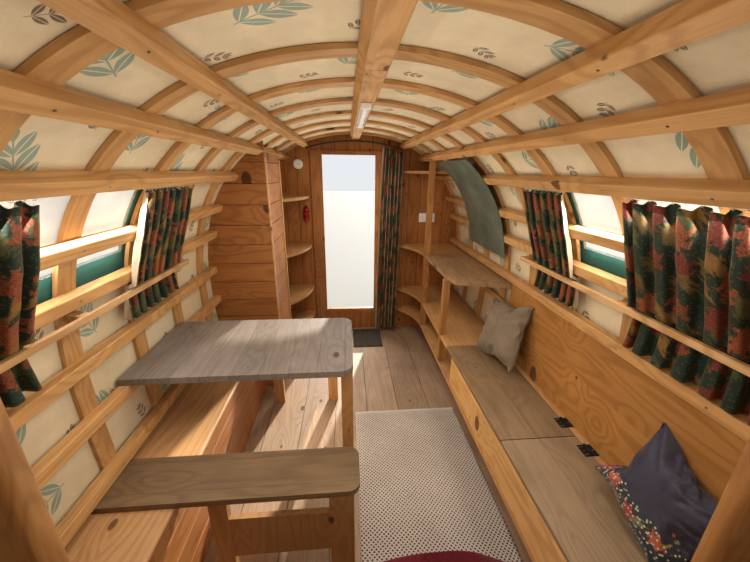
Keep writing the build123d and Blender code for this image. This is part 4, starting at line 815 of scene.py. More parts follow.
# Plain woven linen, undyed: pale warm grey, on the curtains' reverse
curtainLinen = makeCloth("undyedLinen", {**plainCloth, "colour": "#c2b294", "show": 0.10})

# Roof lining and cover
roofLook = {
    "step": 0.034, "crease": 0.0011,
    "lining": {"out": 0.0166, "sag": 0.0032, "thick": 0.0014},
    "cover": {"out": 0.0213, "sag": 0.0010, "thick": 0.0016},
}
cheekSpan = (frontY - 2.762, frontY - 2.717)   # the near partition, along the wagon
ribCentres = [frontY - 0.085 - ribPitch * index for index in range(-1, 12)] + [roofFront - ribWide / 2]
held = sorted(
    [(y - ribWide / 2, y + ribWide / 2) for y in ribCentres] + [
        (frontY, frontY + 0.022), (rearY, rearY + 0.022), cheekSpan, (roofRear, roofRear + 0.01)
    ]
)


def slackness(y):   # 0 where a rib or wall holds the cloth, 1 midway between two of them
    below = max((end for _, end in held if end <= y), default=roofRear)
    above = min((start for start, _ in held if start >= y), default=roofFront)
    if any(start <= y <= end for start, end in held) or above <= below:
        return 0.0
    return math.sin(math.pi * (y - below) / (above - below)) ** 2 * min(1.0, (above - below) / 0.2)


def roofSheet(name, look, opening, run, finish):   # cloth over the whole bow, cut out at the windows
    lengths = stations(
        -footLength, footLength, roofLook["step"], [side * s for side in (-1, 1) for s in opening]
    )
    ys = stations(roofRear, roofFront, roofLook["step"], [*run, *(edge for pair in held for edge in pair)])
    slack = [slackness(y) for y in ys]
    points = np.zeros((len(ys), len(lengths), 3))
    flat = np.zeros((len(ys), len(lengths), 2))
    for row, y in enumerate(ys):
        for place, length in enumerate(lengths):
            loose = slack[row] * (0.75 + 0.4 * ripple(length * 3.1, y * 2.3, 4))
            lift = roofLook["crease"] * ripple(length * 13, y * 5, 9) * slack[row] ** 0.5
            point = bowPoint(
                length, look["out"] - look["sag"] * loose + lift * look["sag"] / roofLook["lining"]["sag"], y
            )
            point.z = max(point.z, ledgeTop + 0.0012)
            points[row, place] = point
            flat[row, place] = (length, y)

    def keep(row, place):
        middle = abs(lengths[place] + lengths[place + 1]) / 2
        return not (opening[0] < middle < opening[1] and run[0] < (ys[row] + ys[row + 1]) / 2 < run[1])

    return thicken(buildSheet(name, points, flat, keep, flip=True), look["thick"], [finish])


panelDrop = (0.930, 1.220)
panelSpan = (frontY - 2.625, frontY - 1.845)
lining = roofSheet("roofLining", roofLook["lining"], windowDrop, windowSpan, liningPrint)
fit(lining, "printed_lining", "lining")
cover = roofSheet("canvasCover", roofLook["cover"], panelDrop, panelSpan, canvasDuck)
fit(cover, "green_canvas", "canvas_cover")
print("roof cloth done:", len(lining.data.polygons), len(cover.data.polygons))

# Binding sewn round each clear panel, outside
for side in (-1, 1):
    name = "panelBinding." + ("left" if side < 0 else "right")
    outer, inner = 0.018, 0.006
    lengths = stations(
        panelDrop[0] - outer, panelDrop[1] + outer, 0.02, [panelDrop[0] + inner, panelDrop[1] - inner]
    )
    ys = stations(
        panelSpan[0] - outer, panelSpan[1] + outer, 0.03, [panelSpan[0] + inner, panelSpan[1] - inner]
    )
    points = np.array([[bowPoint(side * s, 0.0236, y) for s in lengths] for y in ys])
    flat = np.array([[(s, y) for s in lengths] for y in ys])

    def onBand(row, place):
        y, length = (ys[row] + ys[row + 1]) / 2, (lengths[place] + lengths[place + 1]) / 2
        within = panelDrop[0] + inner < length < panelDrop[1] - inner
        return not (panelSpan[0] + inner < y < panelSpan[1] - inner and within)

    binding = buildSheet(name, points, flat, onBand, flip=side > 0)
    thicken(binding, 0.0016, [canvasHem])
    # cut as one strip
    fit(binding, "green_canvas")

# Window curtains
curtainPath = [   # arc length, distance of the cloth's middle from the ribs, depth of the folds
    (0.922, 0.023, 0.009), (1.000, 0.043, 0.013), (1.092, 0.060, 0.0155), (1.200, 0.062, 0.017),
    (1.331, 0.058, 0.013), (1.350, 0.031, 0.010), (1.380, 0.031, 0.011),
]
curtains = [   # side, nearer and farther end behind the front wall, lower end as an arc length
    {"name": "leftFar", "side": -1, "run": (1.895, 1.530), "foot": 1.488, "folds": 7, "seed": 11},
    {"name": "leftNear", "side": -1, "run": (2.700, 2.335), "foot": 1.498, "folds": 7, "seed": 12},
    {"name": "rightFar", "side": 1, "run": (1.875, 1.570), "foot": 1.493, "folds": 6, "seed": 13},
    {"name": "rightNear", "side": 1, "run": (2.575, 2.189), "foot": 1.514, "folds": 6, "seed": 14},
]
curtainThick = 0.0016
headerPlace = 0.934   # arc length of the curtains' upper edge
headerDip = 0.006
tailPlace = curtainPath[-1][0]   # arc length where a curtain comes free of the lower bar
cordAt = {"down": 0.9265, "hookDown": 0.9287, "inside": 0.021, "past": 0.012, "half": 0.0016}
hooks = []


def foldShape(phase):   # a flat-fronted pleat: forward and sideways parts, each from -1 to 1
    return math.tanh(2.0 * math.cos(phase)) / math.tanh(2.0), math.sin(2 * phase)


for look in curtains:
    chance = random.Random(look["seed"])
    shares = [chance.uniform(0.72, 1.3) for _ in range(look["folds"])]
    edges = np.concatenate([[0], np.cumsum(shares)]) / sum(shares)
    depths = [chance.uniform(0.78, 1.0) for _ in range(look["folds"] + 1)]
    near, far = (frontY - back for back in look["run"])
    path = curtainPath + [(look["foot"], 0.037, 0.021)]
    places, middles, deeps = (np.array(column) for column in zip(*path))
    lengths = stations(headerPlace, look["foot"], 0.0095, [down for down, _, _ in curtainPath[4:]])
    columns = look["folds"] * 18 + 1
    points = np.zeros((len(lengths), columns, 3))
    flat = np.zeros((len(lengths), columns, 2))
    for row, length in enumerate(lengths):
        middle = np.interp(length, places, middles)
        deep = np.interp(length, places, deeps)
        tail = max(0.0, (length - tailPlace) / (look["foot"] - tailPlace))
        for column in range(columns):
            fold = look["folds"] * column / (columns - 1)
            phase = 2 * math.pi * fold
            forward, aside = foldShape(phase + 0.35 * ripple(length * 4, fold, look["seed"]))
            share = np.interp(fold, range(look["folds"] + 1), edges)
            size = np.interp(fold, range(look["folds"] + 1), depths)
            y = far - (far - near) * (share + 0.035 * tail * (share - 0.5) * 2)
            y -= (far - near) / look["folds"] * (0.085 + 0.02 * tail) * aside
            y += (
                0.004 * ripple(length * 5, fold * 0.7, look["seed"] + 3)
                + 0.006 * tail * ripple(fold * 1.3, 2, look["seed"])
            )
            wave = 0.0013 * ripple(length * 16, fold * 2.2, look["seed"] + 6)
            out = -(middle + deep * size * forward + wave)
            if length < 1.0:
                out = min(out, -0.011)
            dip = headerDip * math.sin(phase) ** 2 * max(0.0, 1 - (length - headerPlace) / 0.03)
            points[row, column] = bowPoint(look["side"] * (length + dip), out, y)
    steps = np.linalg.norm(np.diff(points, axis=1), axis=2)
    cut = float(steps.sum(axis=1).mean())
    for row, length in enumerate(lengths):
        flat[row, :, 0] = np.linspace(0, cut, columns) + look["seed"]
        flat[row, :, 1] = length
    curtain = buildSheet("curtain." + look["name"], points, flat, flip=look["side"] > 0)
    thicken(curtain, curtainThick, [curtainVelvet, curtainLinen])
    fit(curtain, "curtain_cloth", *(["window_curtains"] if look is curtains[0] else []))
    # white cord that it hangs from, under the bar
    cordRun = np.linspace(near - cordAt["past"], far + cordAt["past"], 13)
    line = [bowPoint(look["side"] * cordAt["down"], -cordAt["inside"], y) for y in cordRun]
    look["wire"] = buildMesh("curtainWire." + look["name"], *tubeMesh(line, cordAt["half"]))
    for fold in range(2 * look["folds"] + 1):
        y = far - (far - near) * np.interp(fold / 2, range(look["folds"] + 1), edges)
        hooks.append((bowPoint(look["side"] * cordAt["hookDown"], -cordAt["inside"], y), (0.0, 1.0, 0.0)))
print("window curtains done:", len(curtains))

# Curtain beside the doorway, on rings along the bowed rod
railSpot = bowPoint(barStarts[0] + barWide * 0.6, -(barDeep + 0.0073))
railRise = 0.062
railRadius = (railSpot.x ** 2 + railRise ** 2) / (2 * railRise)


def railZ(x):
    return railSpot.z + railRise - railRadius + math.sqrt(railRadius ** 2 - x * x)


drape = {
    "y": frontY - 0.125, "top": (0.247, 0.428), "foot": (0.197, 0.393), "drop": 0.024, "folds": 6,
    "depth": 0.0185, "rows": 90, "turnBack": 0.07
}
low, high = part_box("door_curtain")
columns = drape["folds"] * 18 + 1
points = np.zeros((drape["rows"], columns, 3))
rings = []
for row in range(drape["rows"]):
    fall = row / (drape["rows"] - 1)
    left = drape["top"][0] + (drape["foot"][0] - drape["top"][0]) * fall ** 0.7
    right = drape["top"][1] + (drape["foot"][1] - drape["top"][1]) * fall
    for column in range(columns):
        fold = drape["folds"] * column / (columns - 1)
        forward, aside = foldShape(2 * math.pi * fold + 0.5 * ripple(fall * 2.2, fold, 30))
        pitch = (right - left) / drape["folds"]
        x = left + pitch * fold - pitch * 0.10 * aside + 0.004 * ripple(fall * 3, fold * 0.8, 31)
        x = min(max(x, low.x + 0.002), high.x - 0.002)
        deep = (
            drape["depth"] * (0.45 + 0.55 * min(1.0, fall * 7))
            * (0.85 + 0.15 * ripple(fold * 1.7, fall * 2, 32))
        )
        y = drape["y"] - deep * forward + 0.0015 * ripple(fall * 22, fold * 2, 33)
        top = railZ(x) - drape["drop"]
        points[row, column] = (x, y, top + (low.z + 0.001 - top) * fall)
steps = np.linalg.norm(np.diff(points, axis=1), axis=2)
cut = float(steps.sum(axis=1).mean())
flat = np.zeros((drape["rows"], columns, 2))
flat[:, :, 0] = np.linspace(3, 3 + cut, columns)[None, :]
flat[:, :, 1] = np.linspace(1.62, 0, drape["rows"])[:, None]
doorCurtain = buildSheet("curtain.door", points, flat, flip=True)
turned = int(drape["turnBack"] * columns)
for face in doorCurtain.data.polygons:
    face.material_index = 1 if face.index % (columns - 1) < turned else 0
thicken(doorCurtain, 0.0018, [curtainVelvet, curtainLinen, curtainLinen])
fit(doorCurtain, "curtain_cloth", "door_curtain")
for fold in range(drape["folds"] + 1):
    left, right = drape["top"]
    x = left + 0.006 + (right - left - 0.012) * fold / drape["folds"]
    rings.append((Vector((x, drape["y"], railZ(x) - 0.0055)), (1.0, 0.0, -x / railRadius)))
print("door curtain done")

# Runner rug, flat-woven with a dotted figure
rugLow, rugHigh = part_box("rug")


def printDots(tree, flat, look):   # a quincunx of dark dots on a pale ground, with a plain band at each end
    grid = addNode(tree, "VectorMath", [flat, 1 / look["pitch"]], "SCALE")
    near = None
    for shift in (0.0, 0.5):
        spot = addNode(tree, "VectorMath", [grid, (shift, shift, 0)], "ADD")
        spot = addNode(tree, "VectorMath", [spot], "FRACTION")
        spot = addNode(tree, "VectorMath", [spot, (-0.5, -0.5, 0)], "ADD")
        spot = addNode(tree, "VectorMath", [spot, (1, 1, 0)], "MULTIPLY")
        away = addNode(tree, "VectorMath", [spot], "LENGTH").outputs["Value"]
        near = away if near is None else addNode(tree, "Math", [near, away], "MINIMUM")
    wear = addNode(tree, "TexNoise", {"Vector": flat, "Scale": 70.0, "Detail": 2.0}, noise_dimensions="2D")
    near = addNode(tree, "Math", [wear, 0.13, near], "MULTIPLY_ADD")
    dot = addNode(tree, "MapRange", [near, 0.30, 0.24, 0.0, 1.0])
    end = addNode(tree, "SeparateXYZ", [flat]).outputs["Y"]
    end = addNode(tree, "Math", [end, look["middle"]], "SUBTRACT")
    end = addNode(tree, "Math", [end], "ABSOLUTE")
    end = addNode(tree, "Math", [end, look["plainFrom"]], "LESS_THAN")
    dot = addNode(tree, "Math", [dot, end], "MULTIPLY")
    return addNode(tree, "Mix", [dot, look["colour"], look["ink"]])


# Flat-woven wool and cotton: chalky off-white, thick threads, dark brown figure that sits slightly low
rugWeave = makeCloth(
    "flatWovenWool",
    {
        **plainCloth, "colour": "#c9bdad", "ink": "#33241f", "pitch": 0.0205,
        "middle": (rugLow.y + rugHigh.y) / 2, "plainFrom": (rugHigh.y - rugLow.y) / 2 - 0.030,
        "thread": 0.0055, "bump": 0.9, "show": 0.08, "vary": 0.08, "mottle": 3.0,
        "seams": [("Y", rugHigh.y - 0.024, 0)]
    },
    printDots
)
xs = stations(rugLow.x + 0.001, rugHigh.x - 0.001, 0.0125)
ys = stations(rugLow.y, rugHigh.y, 0.0125)
points = np.zeros((len(ys), len(xs), 3))
flat = np.zeros((len(ys), len(xs), 2))
for row, y in enumerate(ys):
    for place, x in enumerate(xs):
        edge = min(x - xs[0], xs[-1] - x, y - ys[0], ys[-1] - y)
        curl = 0.0016 * math.exp(-edge / 0.012) * (0.5 + ripple(x * 9, y * 9, 40))
        wave = 0.0007 * ripple(x * 4, y * 5, 41) + 0.0012 * max(0.0, ripple(x * 1.6, y * 2.6, 42))
        aside = (
            0.0022 * ripple(y * 4, 5, 43) * (1 if x > (xs[0] + xs[-1]) / 2 else -1) * math.exp(-edge / 0.05)
        )
        points[row, place] = (min(max(x + aside, rugLow.x), rugHigh.x), y, floorTop + 0.0034 + curl + wave)
        flat[row, place] = (x, y)
rug = thicken(buildSheet("runnerRug", points, flat), 0.0046, [rugWeave])
fit(rug, "rug_wool", "rug")
print("rug done")

# Geometry trees for what repeats


def startTree(name, sizes):   # a tree with a named input for each size
    tree = bpy.data.node_groups.new(name, "GeometryNodeTree")
    tree.is_modifier = True
    tree.interface.new_socket("Geometry", in_out="INPUT", socket_type="NodeSocketGeometry")
    for label, value in sizes.items():
        kind = "NodeSocketInt" if isinstance(value, int) else "NodeSocketFloat"
        tree.interface.new_socket(label, in_out="INPUT", socket_type=kind).default_value = value
    tree.interface.new_socket("Geometry", in_out="OUTPUT", socket_type="NodeSocketGeometry")
    return tree, addNode(tree, "NodeGroupInput").outputs


# the shape at each point, as real faces in their finish
def endTree(tree, points, shape, turn, finish, second=None):
    many = addNode(tree, "GeometryNodeInstanceOnPoints", {
        "Points": points, "Instance": shape, "Rotation": turn
    })
    real = addNode(tree, "GeometryNodeRealizeInstances", {"Geometry": many})
    real = addNode(tree, "GeometryNodeSetMaterial", {"Geometry": real, "Material": finish})
    # the faces marked slotShade take the second finish: painted shade
    if second:   # for the faces where "inlay" is set
        slotShade = addNode(tree, "GeometryNodeInputNamedAttribute", {"Name": "slotShade"}, data_type="BOOLEAN")
        real = addNode(tree, "GeometryNodeSetMaterial", {
            "Geometry": real, "Selection": slotShade, "Material": second
        })
    addNode(tree, "NodeGroupOutput", [real])


def facingTurn(tree, seed=None):   # turns a shape's Z to the point's "facing", and about it by chance
    facing = addNode(tree, "GeometryNodeInputNamedAttribute", {"Name": "facing"}, data_type="FLOAT_VECTOR")
    turn = addNode(tree, "FunctionNodeAlignRotationToVector", {"Vector": facing}, axis="Z")
    if seed is None:
        return turn
    chance = addNode(
        tree, "FunctionNodeRandomValue", {"Min": 0.0, "Max": 2 * math.pi, "Seed": seed}, data_type="FLOAT"
    )
    about = addNode(tree, "CombineXYZ", {2: chance})
    about = addNode(tree, "FunctionNodeEulerToRotation", [about])
    return addNode(
        tree, "FunctionNodeRotateRotation", {"Rotation": turn, "Rotate By": about}, rotation_space="LOCAL"
    )


# the tree's shape at each place, facing its way, as one plain mesh
def repeatOn(name, spots, tree, **sizes):
    piece = buildMesh(name, [place for place, _ in spots], [])
    facing = piece.data.attributes.new("facing", "FLOAT_VECTOR", "POINT")
    facing.data.foreach_set("vector", [c for _, way in spots for c in way])
    modifier = piece.modifiers.new("repeat", "NODES")
    modifier.node_group = tree
    for item in tree.interface.items_tree:
        if item.in_out == "INPUT" and item.name.replace(" ", "") in sizes:
            modifier[item.identifier] = sizes[item.name.replace(" ", "")]
    settle(piece)
    return piece


# Zinc-plated steel: dull silver, fine scratches
zincSteel = makeMetal("zincPlatedSteel", {
    "light": "#a9a69c", "dark": "#7f7c74", "metallic": 1.0, "roughness": 0.42, "cloud": 90.0, "fine": 900.0,
    "bump": 0.1
})
# Near-black steel: painted shade in screw slots and vent openings, and the dark heads of sunk nails
darkSlot = makeMetal("shadowedSteel", {
    "light": "#1b1a19", "dark": "#100f0e", "metallic": 0.0, "roughness": 0.8, "cloud": 60.0, "fine": 500.0,
    "bump": 0.1
})
# Brass, stamped: warm yellow, dulled by handling
dullBrass = makeMetal("stampedBrass", {
    "light": "#b08a46", "dark": "#7d5f2c", "metallic": 1.0, "roughness": 0.38, "cloud": 60.0, "fine": 700.0,
    "bump": 0.1
})

# Countersunk screw: low domed head with a slot, drawn as a thin near-black box on the head: painted shade in
# the slot
screwTree, screwIn = startTree("screwHeads", {"HeadWidth": 0.008, "HeadHeight": 0.0012, "Seed": 3})
half = addNode(screwTree, "Math", [screwIn["HeadWidth"], 0.5], "MULTIPLY")
crown = addNode(screwTree, "Math", [screwIn["HeadWidth"], 0.36], "MULTIPLY")
head = addNode(screwTree, "GeometryNodeMeshCone", {
    "Vertices": 14, "Radius Top": crown, "Radius Bottom": half, "Depth": screwIn["HeadHeight"]
})
slotWide = addNode(screwTree, "Math", [screwIn["HeadWidth"], 0.13], "MULTIPLY")
slotLong = addNode(screwTree, "Math", [screwIn["HeadWidth"], 0.70], "MULTIPLY")
slotSize = addNode(screwTree, "CombineXYZ", [slotLong, slotWide, 0.0003])
slotBox = addNode(screwTree, "GeometryNodeMeshCube", {"Size": slotSize})
slotBox = addNode(
    screwTree, "GeometryNodeStoreNamedAttribute", {"Geometry": slotBox, "Name": "slotShade", "Value": True},
    data_type="BOOLEAN", domain="FACE"
)
lift = addNode(screwTree, "CombineXYZ", {2: screwIn["HeadHeight"]})
slotBox = addNode(screwTree, "GeometryNodeTransform", {"Geometry": slotBox, "Translation": lift})
both = addNode(screwTree, "GeometryNodeJoinGeometry")
for part in (slotBox, head):
    screwTree.links.new(part.outputs[0], both.inputs[0])
endTree(screwTree, screwIn["Geometry"], both, facingTurn(screwTree, screwIn["Seed"]), zincSteel, darkSlot)

# Domed nail or tack
tackTree, tackIn = startTree("tackHeads", {"HeadWidth": 0.009})
half = addNode(tackTree, "Math", [tackIn["HeadWidth"], 0.5], "MULTIPLY")
dome = addNode(tackTree, "GeometryNodeMeshUVSphere", {"Segments": 10, "Rings": 6, "Radius": half})
dome = addNode(tackTree, "GeometryNodeTransform", {"Geometry": dome, "Scale": (1.0, 1.0, 0.42)})
endTree(tackTree, tackIn["Geometry"], dome, facingTurn(tackTree), dullBrass)

# Sunk nail: a dark dot with a stained edge, almost flush
nailTree, nailIn = startTree("sunkNails", {"HeadWidth": 0.006})
half = addNode(nailTree, "Math", [nailIn["HeadWidth"], 0.5], "MULTIPLY")
disc = addNode(nailTree, "GeometryNodeMeshCone", {
    "Vertices": 10, "Radius Top": half, "Radius Bottom": half, "Depth": 0.0004
})
endTree(nailTree, nailIn["Geometry"], disc, facingTurn(nailTree), darkSlot)


def growRings(name, finish):   # split rings that hang on a rod or cord
    tree, entry = startTree(name, {"RingWidth": 0.03, "WireWidth": 0.003})
    half = addNode(tree, "Math", [entry["RingWidth"], 0.5], "MULTIPLY")
    thin = addNode(tree, "Math", [entry["WireWidth"], 0.5], "MULTIPLY")
    loop = addNode(tree, "GeometryNodeCurvePrimitiveCircle", {"Resolution": 16, "Radius": half})
    wire = addNode(tree, "GeometryNodeCurvePrimitiveCircle", {"Resolution": 6, "Radius": thin})
    ring = addNode(tree, "GeometryNodeCurveToMesh", {"Curve": loop, "Profile Curve": wire})
    endTree(tree, entry["Geometry"], ring, facingTurn(tree), finish)
    return tree


# Polypropylene cord and moulded hooks: white, slightly glossy
whiteCord = makeMetal("mouldedWhiteNylon", {
    "light": "#e9e6dd", "dark": "#d8d4c8", "metallic": 0.0, "roughness": 0.4, "cloud": 40.0, "fine": 600.0,
    "bump": 0.1
})
fit(
    repeatOn("curtainHooks", hooks, growRings("hookRings", whiteCord), RingWidth=0.009, WireWidth=0.0018),
    "white_plastic"
)
for look in curtains:
    fasten(look["wire"], whiteCord)
fit(
    repeatOn("railRings", rings, growRings("rodRings", dullBrass), RingWidth=0.030, WireWidth=0.0030),
    "black_iron"
)

# Screws where each bar crosses a rib, on the bar's inner face
barScrews = []
for side in (-1, 1):
    for index, start in enumerate(barStarts):
        if side > 0 and index > 5:
            continue
        middle = start + barWide / 2
        inward = -bowNormal(side * middle)
        barScrews += [(bowPoint(side * middle, -barDeep - 0.0004, y), inward) for y in ribCentres[1:13]]
fit(repeatOn("barScrews", barScrews, screwTree, HeadWidth=0.0075, HeadHeight=0.0009), "black_iron")

# Nails beside each joint of the floor, over the bearers
nailInset = 0.030
floorNails = []
bearers = sorted({round(v.co.y, 3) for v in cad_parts["cross_bearers"].data.vertices})
bearerMiddles = [(a + b) / 2 for a, b in zip(bearers[::2], bearers[1::2])]
for y in bearerMiddles:
    x = floorBoards["first"]
    while x < floorBoards["half"]:
        for place in (x - nailInset, x + nailInset):
            floorNails.append(
                (Vector((place, y + 0.006 * ripple(x * 9, y * 9, 50), floorTop + 0.0002)), (0.0, 0.0, 1.0))
            )
        x += floorBoards["pitch"]
fit(
    repeatOn(
        "floorNails", [n for n in floorNails if abs(n[0].x) < floorBoards["half"]], nailTree, HeadWidth=0.0065
    ),
    "black_iron"
)

# Tacks that hold the canvas along the crown boards and the ledges
tackLook = {"out": 0.0222, "hoopInset": 0.012, "hoopPitch": 0.062, "ledgeInset": 0.018, "ledgePitch": 0.074}
coverTacks = []
for y in (roofRear + tackLook["hoopInset"], roofFront - tackLook["hoopInset"]):
    length = -footLength + 0.03
    while length < footLength:
        coverTacks.append((bowPoint(length, tackLook["out"], y), bowNormal(length)))
        length += tackLook["hoopPitch"]
for side in (-1, 1):
    y = roofRear + 0.04
    while y < roofFront - 0.02:
        edge = side * (footLength - tackLook["ledgeInset"])
        coverTacks.append((bowPoint(edge, tackLook["out"], y), bowNormal(side * footLength)))
        y += tackLook["ledgePitch"]
fit(repeatOn("coverTacks", coverTacks, tackTree, HeadWidth=0.0085), "black_iron")
print("screws, nails and tacks done:", len(barScrews), len(floorNails), len(coverTacks))

# Coir doormat: a base and bristles that stand on it
matLow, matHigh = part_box("doormat")
coir = makeCloth("brushedCoir", {
    **plainCloth, "colour": "#4a4136", "thread": 0.005, "bump": 1.0, "vary": 0.25, "mottle": 60.0
})
coirTip = makeMetal("cutCoirFibre", {
    "light": "#5d5243", "dark": "#2c261f", "metallic": 0.0, "roughness": 0.9, "cloud": 60.0, "fine": 400.0,
    "bump": 0.2
})
xs, ys = stations(matLow.x + 0.003, matHigh.x - 0.003, 0.02), stations(
    matLow.y + 0.003, matHigh.y - 0.003, 0.02
)
points = np.array([[(x, y, floorTop + 0.0026) for x in xs] for y in ys])
coirMat = thicken(buildSheet("coirMat", points, points[:, :, :2]), 0.0044, [coir])
bristleTree, bristleIn = startTree("matBristles", {
    "Density": 62000.0, "BristleWidth": 0.0022, "BristleHeight": 0.0055, "Seed": 5
})
spread = addNode(bristleTree, "GeometryNodeDistributePointsOnFaces", {
    "Mesh": bristleIn["Geometry"], "Density": bristleIn["Density"], "Seed": bristleIn["Seed"]
})
half = addNode(bristleTree, "Math", [bristleIn["BristleWidth"], 0.5], "MULTIPLY")
blade = addNode(bristleTree, "GeometryNodeMeshCone", {
    "Vertices": 3, "Radius Top": 0.0003, "Radius Bottom": half, "Depth": bristleIn["BristleHeight"]
})
tilt = addNode(
    bristleTree, "FunctionNodeRandomValue",
    {"Min": (-0.5, -0.5, 0.0), "Max": (0.5, 0.5, 6.0), "Seed": bristleIn["Seed"]}, data_type="FLOAT_VECTOR"
)
tilt = addNode(bristleTree, "FunctionNodeEulerToRotation", [tilt])
endTree(bristleTree, spread.outputs["Points"], blade, tilt, coirTip)
points = np.array(
    [
        [(x, y, floorTop + 0.0038) for x in (matLow.x + 0.006, matHigh.x - 0.006)]
        for y in (matLow.y + 0.006, matHigh.y - 0.006)
    ]
)
bristles = buildSheet("coirMatBristles", points, points[:, :, :2])
modifier = bristles.modifiers.new("bristles", "NODES")
modifier.node_group = bristleTree
settle(bristles)
fit(coirMat, "mat_fibre", "doormat")
fit(bristles, "mat_fibre")
print("doormat done:", len(bristles.data.polygons))

# Scatter cushions and bed
coverCloth = {
    "quality": 6, "mass": 0.25, "tension_stiffness": 25, "compression_stiffness": 25, "shear_stiffness": 12,
    "bending_stiffness": 0.4
}


# blows the cloth up from inside, then keeps each point within the cap
def puff(piece, pressure, frames=20, cap=None):
    rest = np.array([v.co for v in piece.data.vertices])
    cloth = piece.modifiers.new("puff", "CLOTH")
    for key, value in coverCloth.items():
        setattr(cloth.settings, key, value)
    cloth.settings.use_pressure = True
    cloth.settings.uniform_pressure_force = pressure
    cloth.settings.effector_weights.gravity = 0
    cloth.point_cache.frame_start = 1
    cloth.point_cache.frame_end = frames
    for step in range(1, frames + 1):
        bpy.context.scene.frame_set(step)
    settle(piece)
    bpy.context.scene.frame_set(1)
    if cap:
        for vertex, start in zip(piece.data.vertices, rest):
            move = vertex.co - Vector(start)
            if move.length > cap:
                vertex.co = Vector(start) + move * (cap / move.length)


def addSubdivision(piece):
    finer = piece.modifiers.new("finer", "SUBSURF")
    finer.levels = finer.render_levels = 1
    settle(piece)


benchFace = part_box("bench_back")[0].x - 0.0008
cushions = {
    "cushion_far": {
        "cut": (0.455, 0.430), "stuffed": 0.13, "thick": 0.150, "lean": 20, "turn": 14,
        "middle": frontY - 1.405, "sink": 0.030, "seed": 4,
        "pressure": 5.0, "steps": 44, "hinge": "lid_far_hinge", "slot": "taupe_cloth", "piping": 0.0032,
        "creases": [
            ((-0.5, 0.42), (0.10, 0.02), 0.016, 0.050), ((0.5, 0.30), (0.05, 0.10), 0.011, 0.040),
            ((-0.46, -0.1), (0.02, -0.16), 0.012, 0.045), ((0.42, -0.45), (0.06, -0.10), 0.013, 0.040),
            ((-0.2, -0.48), (0.0, -0.12), 0.009, 0.032), ((0.2, 0.5), (0.1, 0.2), 0.008, 0.03),
        ],
    },
    "cushion_near": {
        "cut": (0.375, 0.365), "stuffed": 0.03, "thick": 0.112, "lean": 22, "turn": -15,
        "middle": frontY - 2.494, "sink": 0.040, "seed": 7,
        "pressure": 4.0, "steps": 44, "hinge": "lid_near_hinge", "slot": "navy_cloth", "piping": 0.0022,
        "creases": [
            ((0.5, 0.46), (0.05, 0.14), 0.015, 0.030), ((0.5, 0.20), (0.12, 0.04), 0.012, 0.022),
            ((0.28, 0.5), (0.10, 0.16), 0.012, 0.022), ((-0.10, 0.5), (0.02, 0.12), 0.010, 0.024),
            ((-0.48, 0.42), (-0.05, 0.10), 0.012, 0.030), ((0.5, -0.08), (0.16, -0.02), 0.010, 0.020),
            ((-0.5, -0.30), (-0.12, -0.12), 0.010, 0.030), ((0.45, -0.42), (0.10, -0.14), 0.011, 0.026),
        ],
    },
}


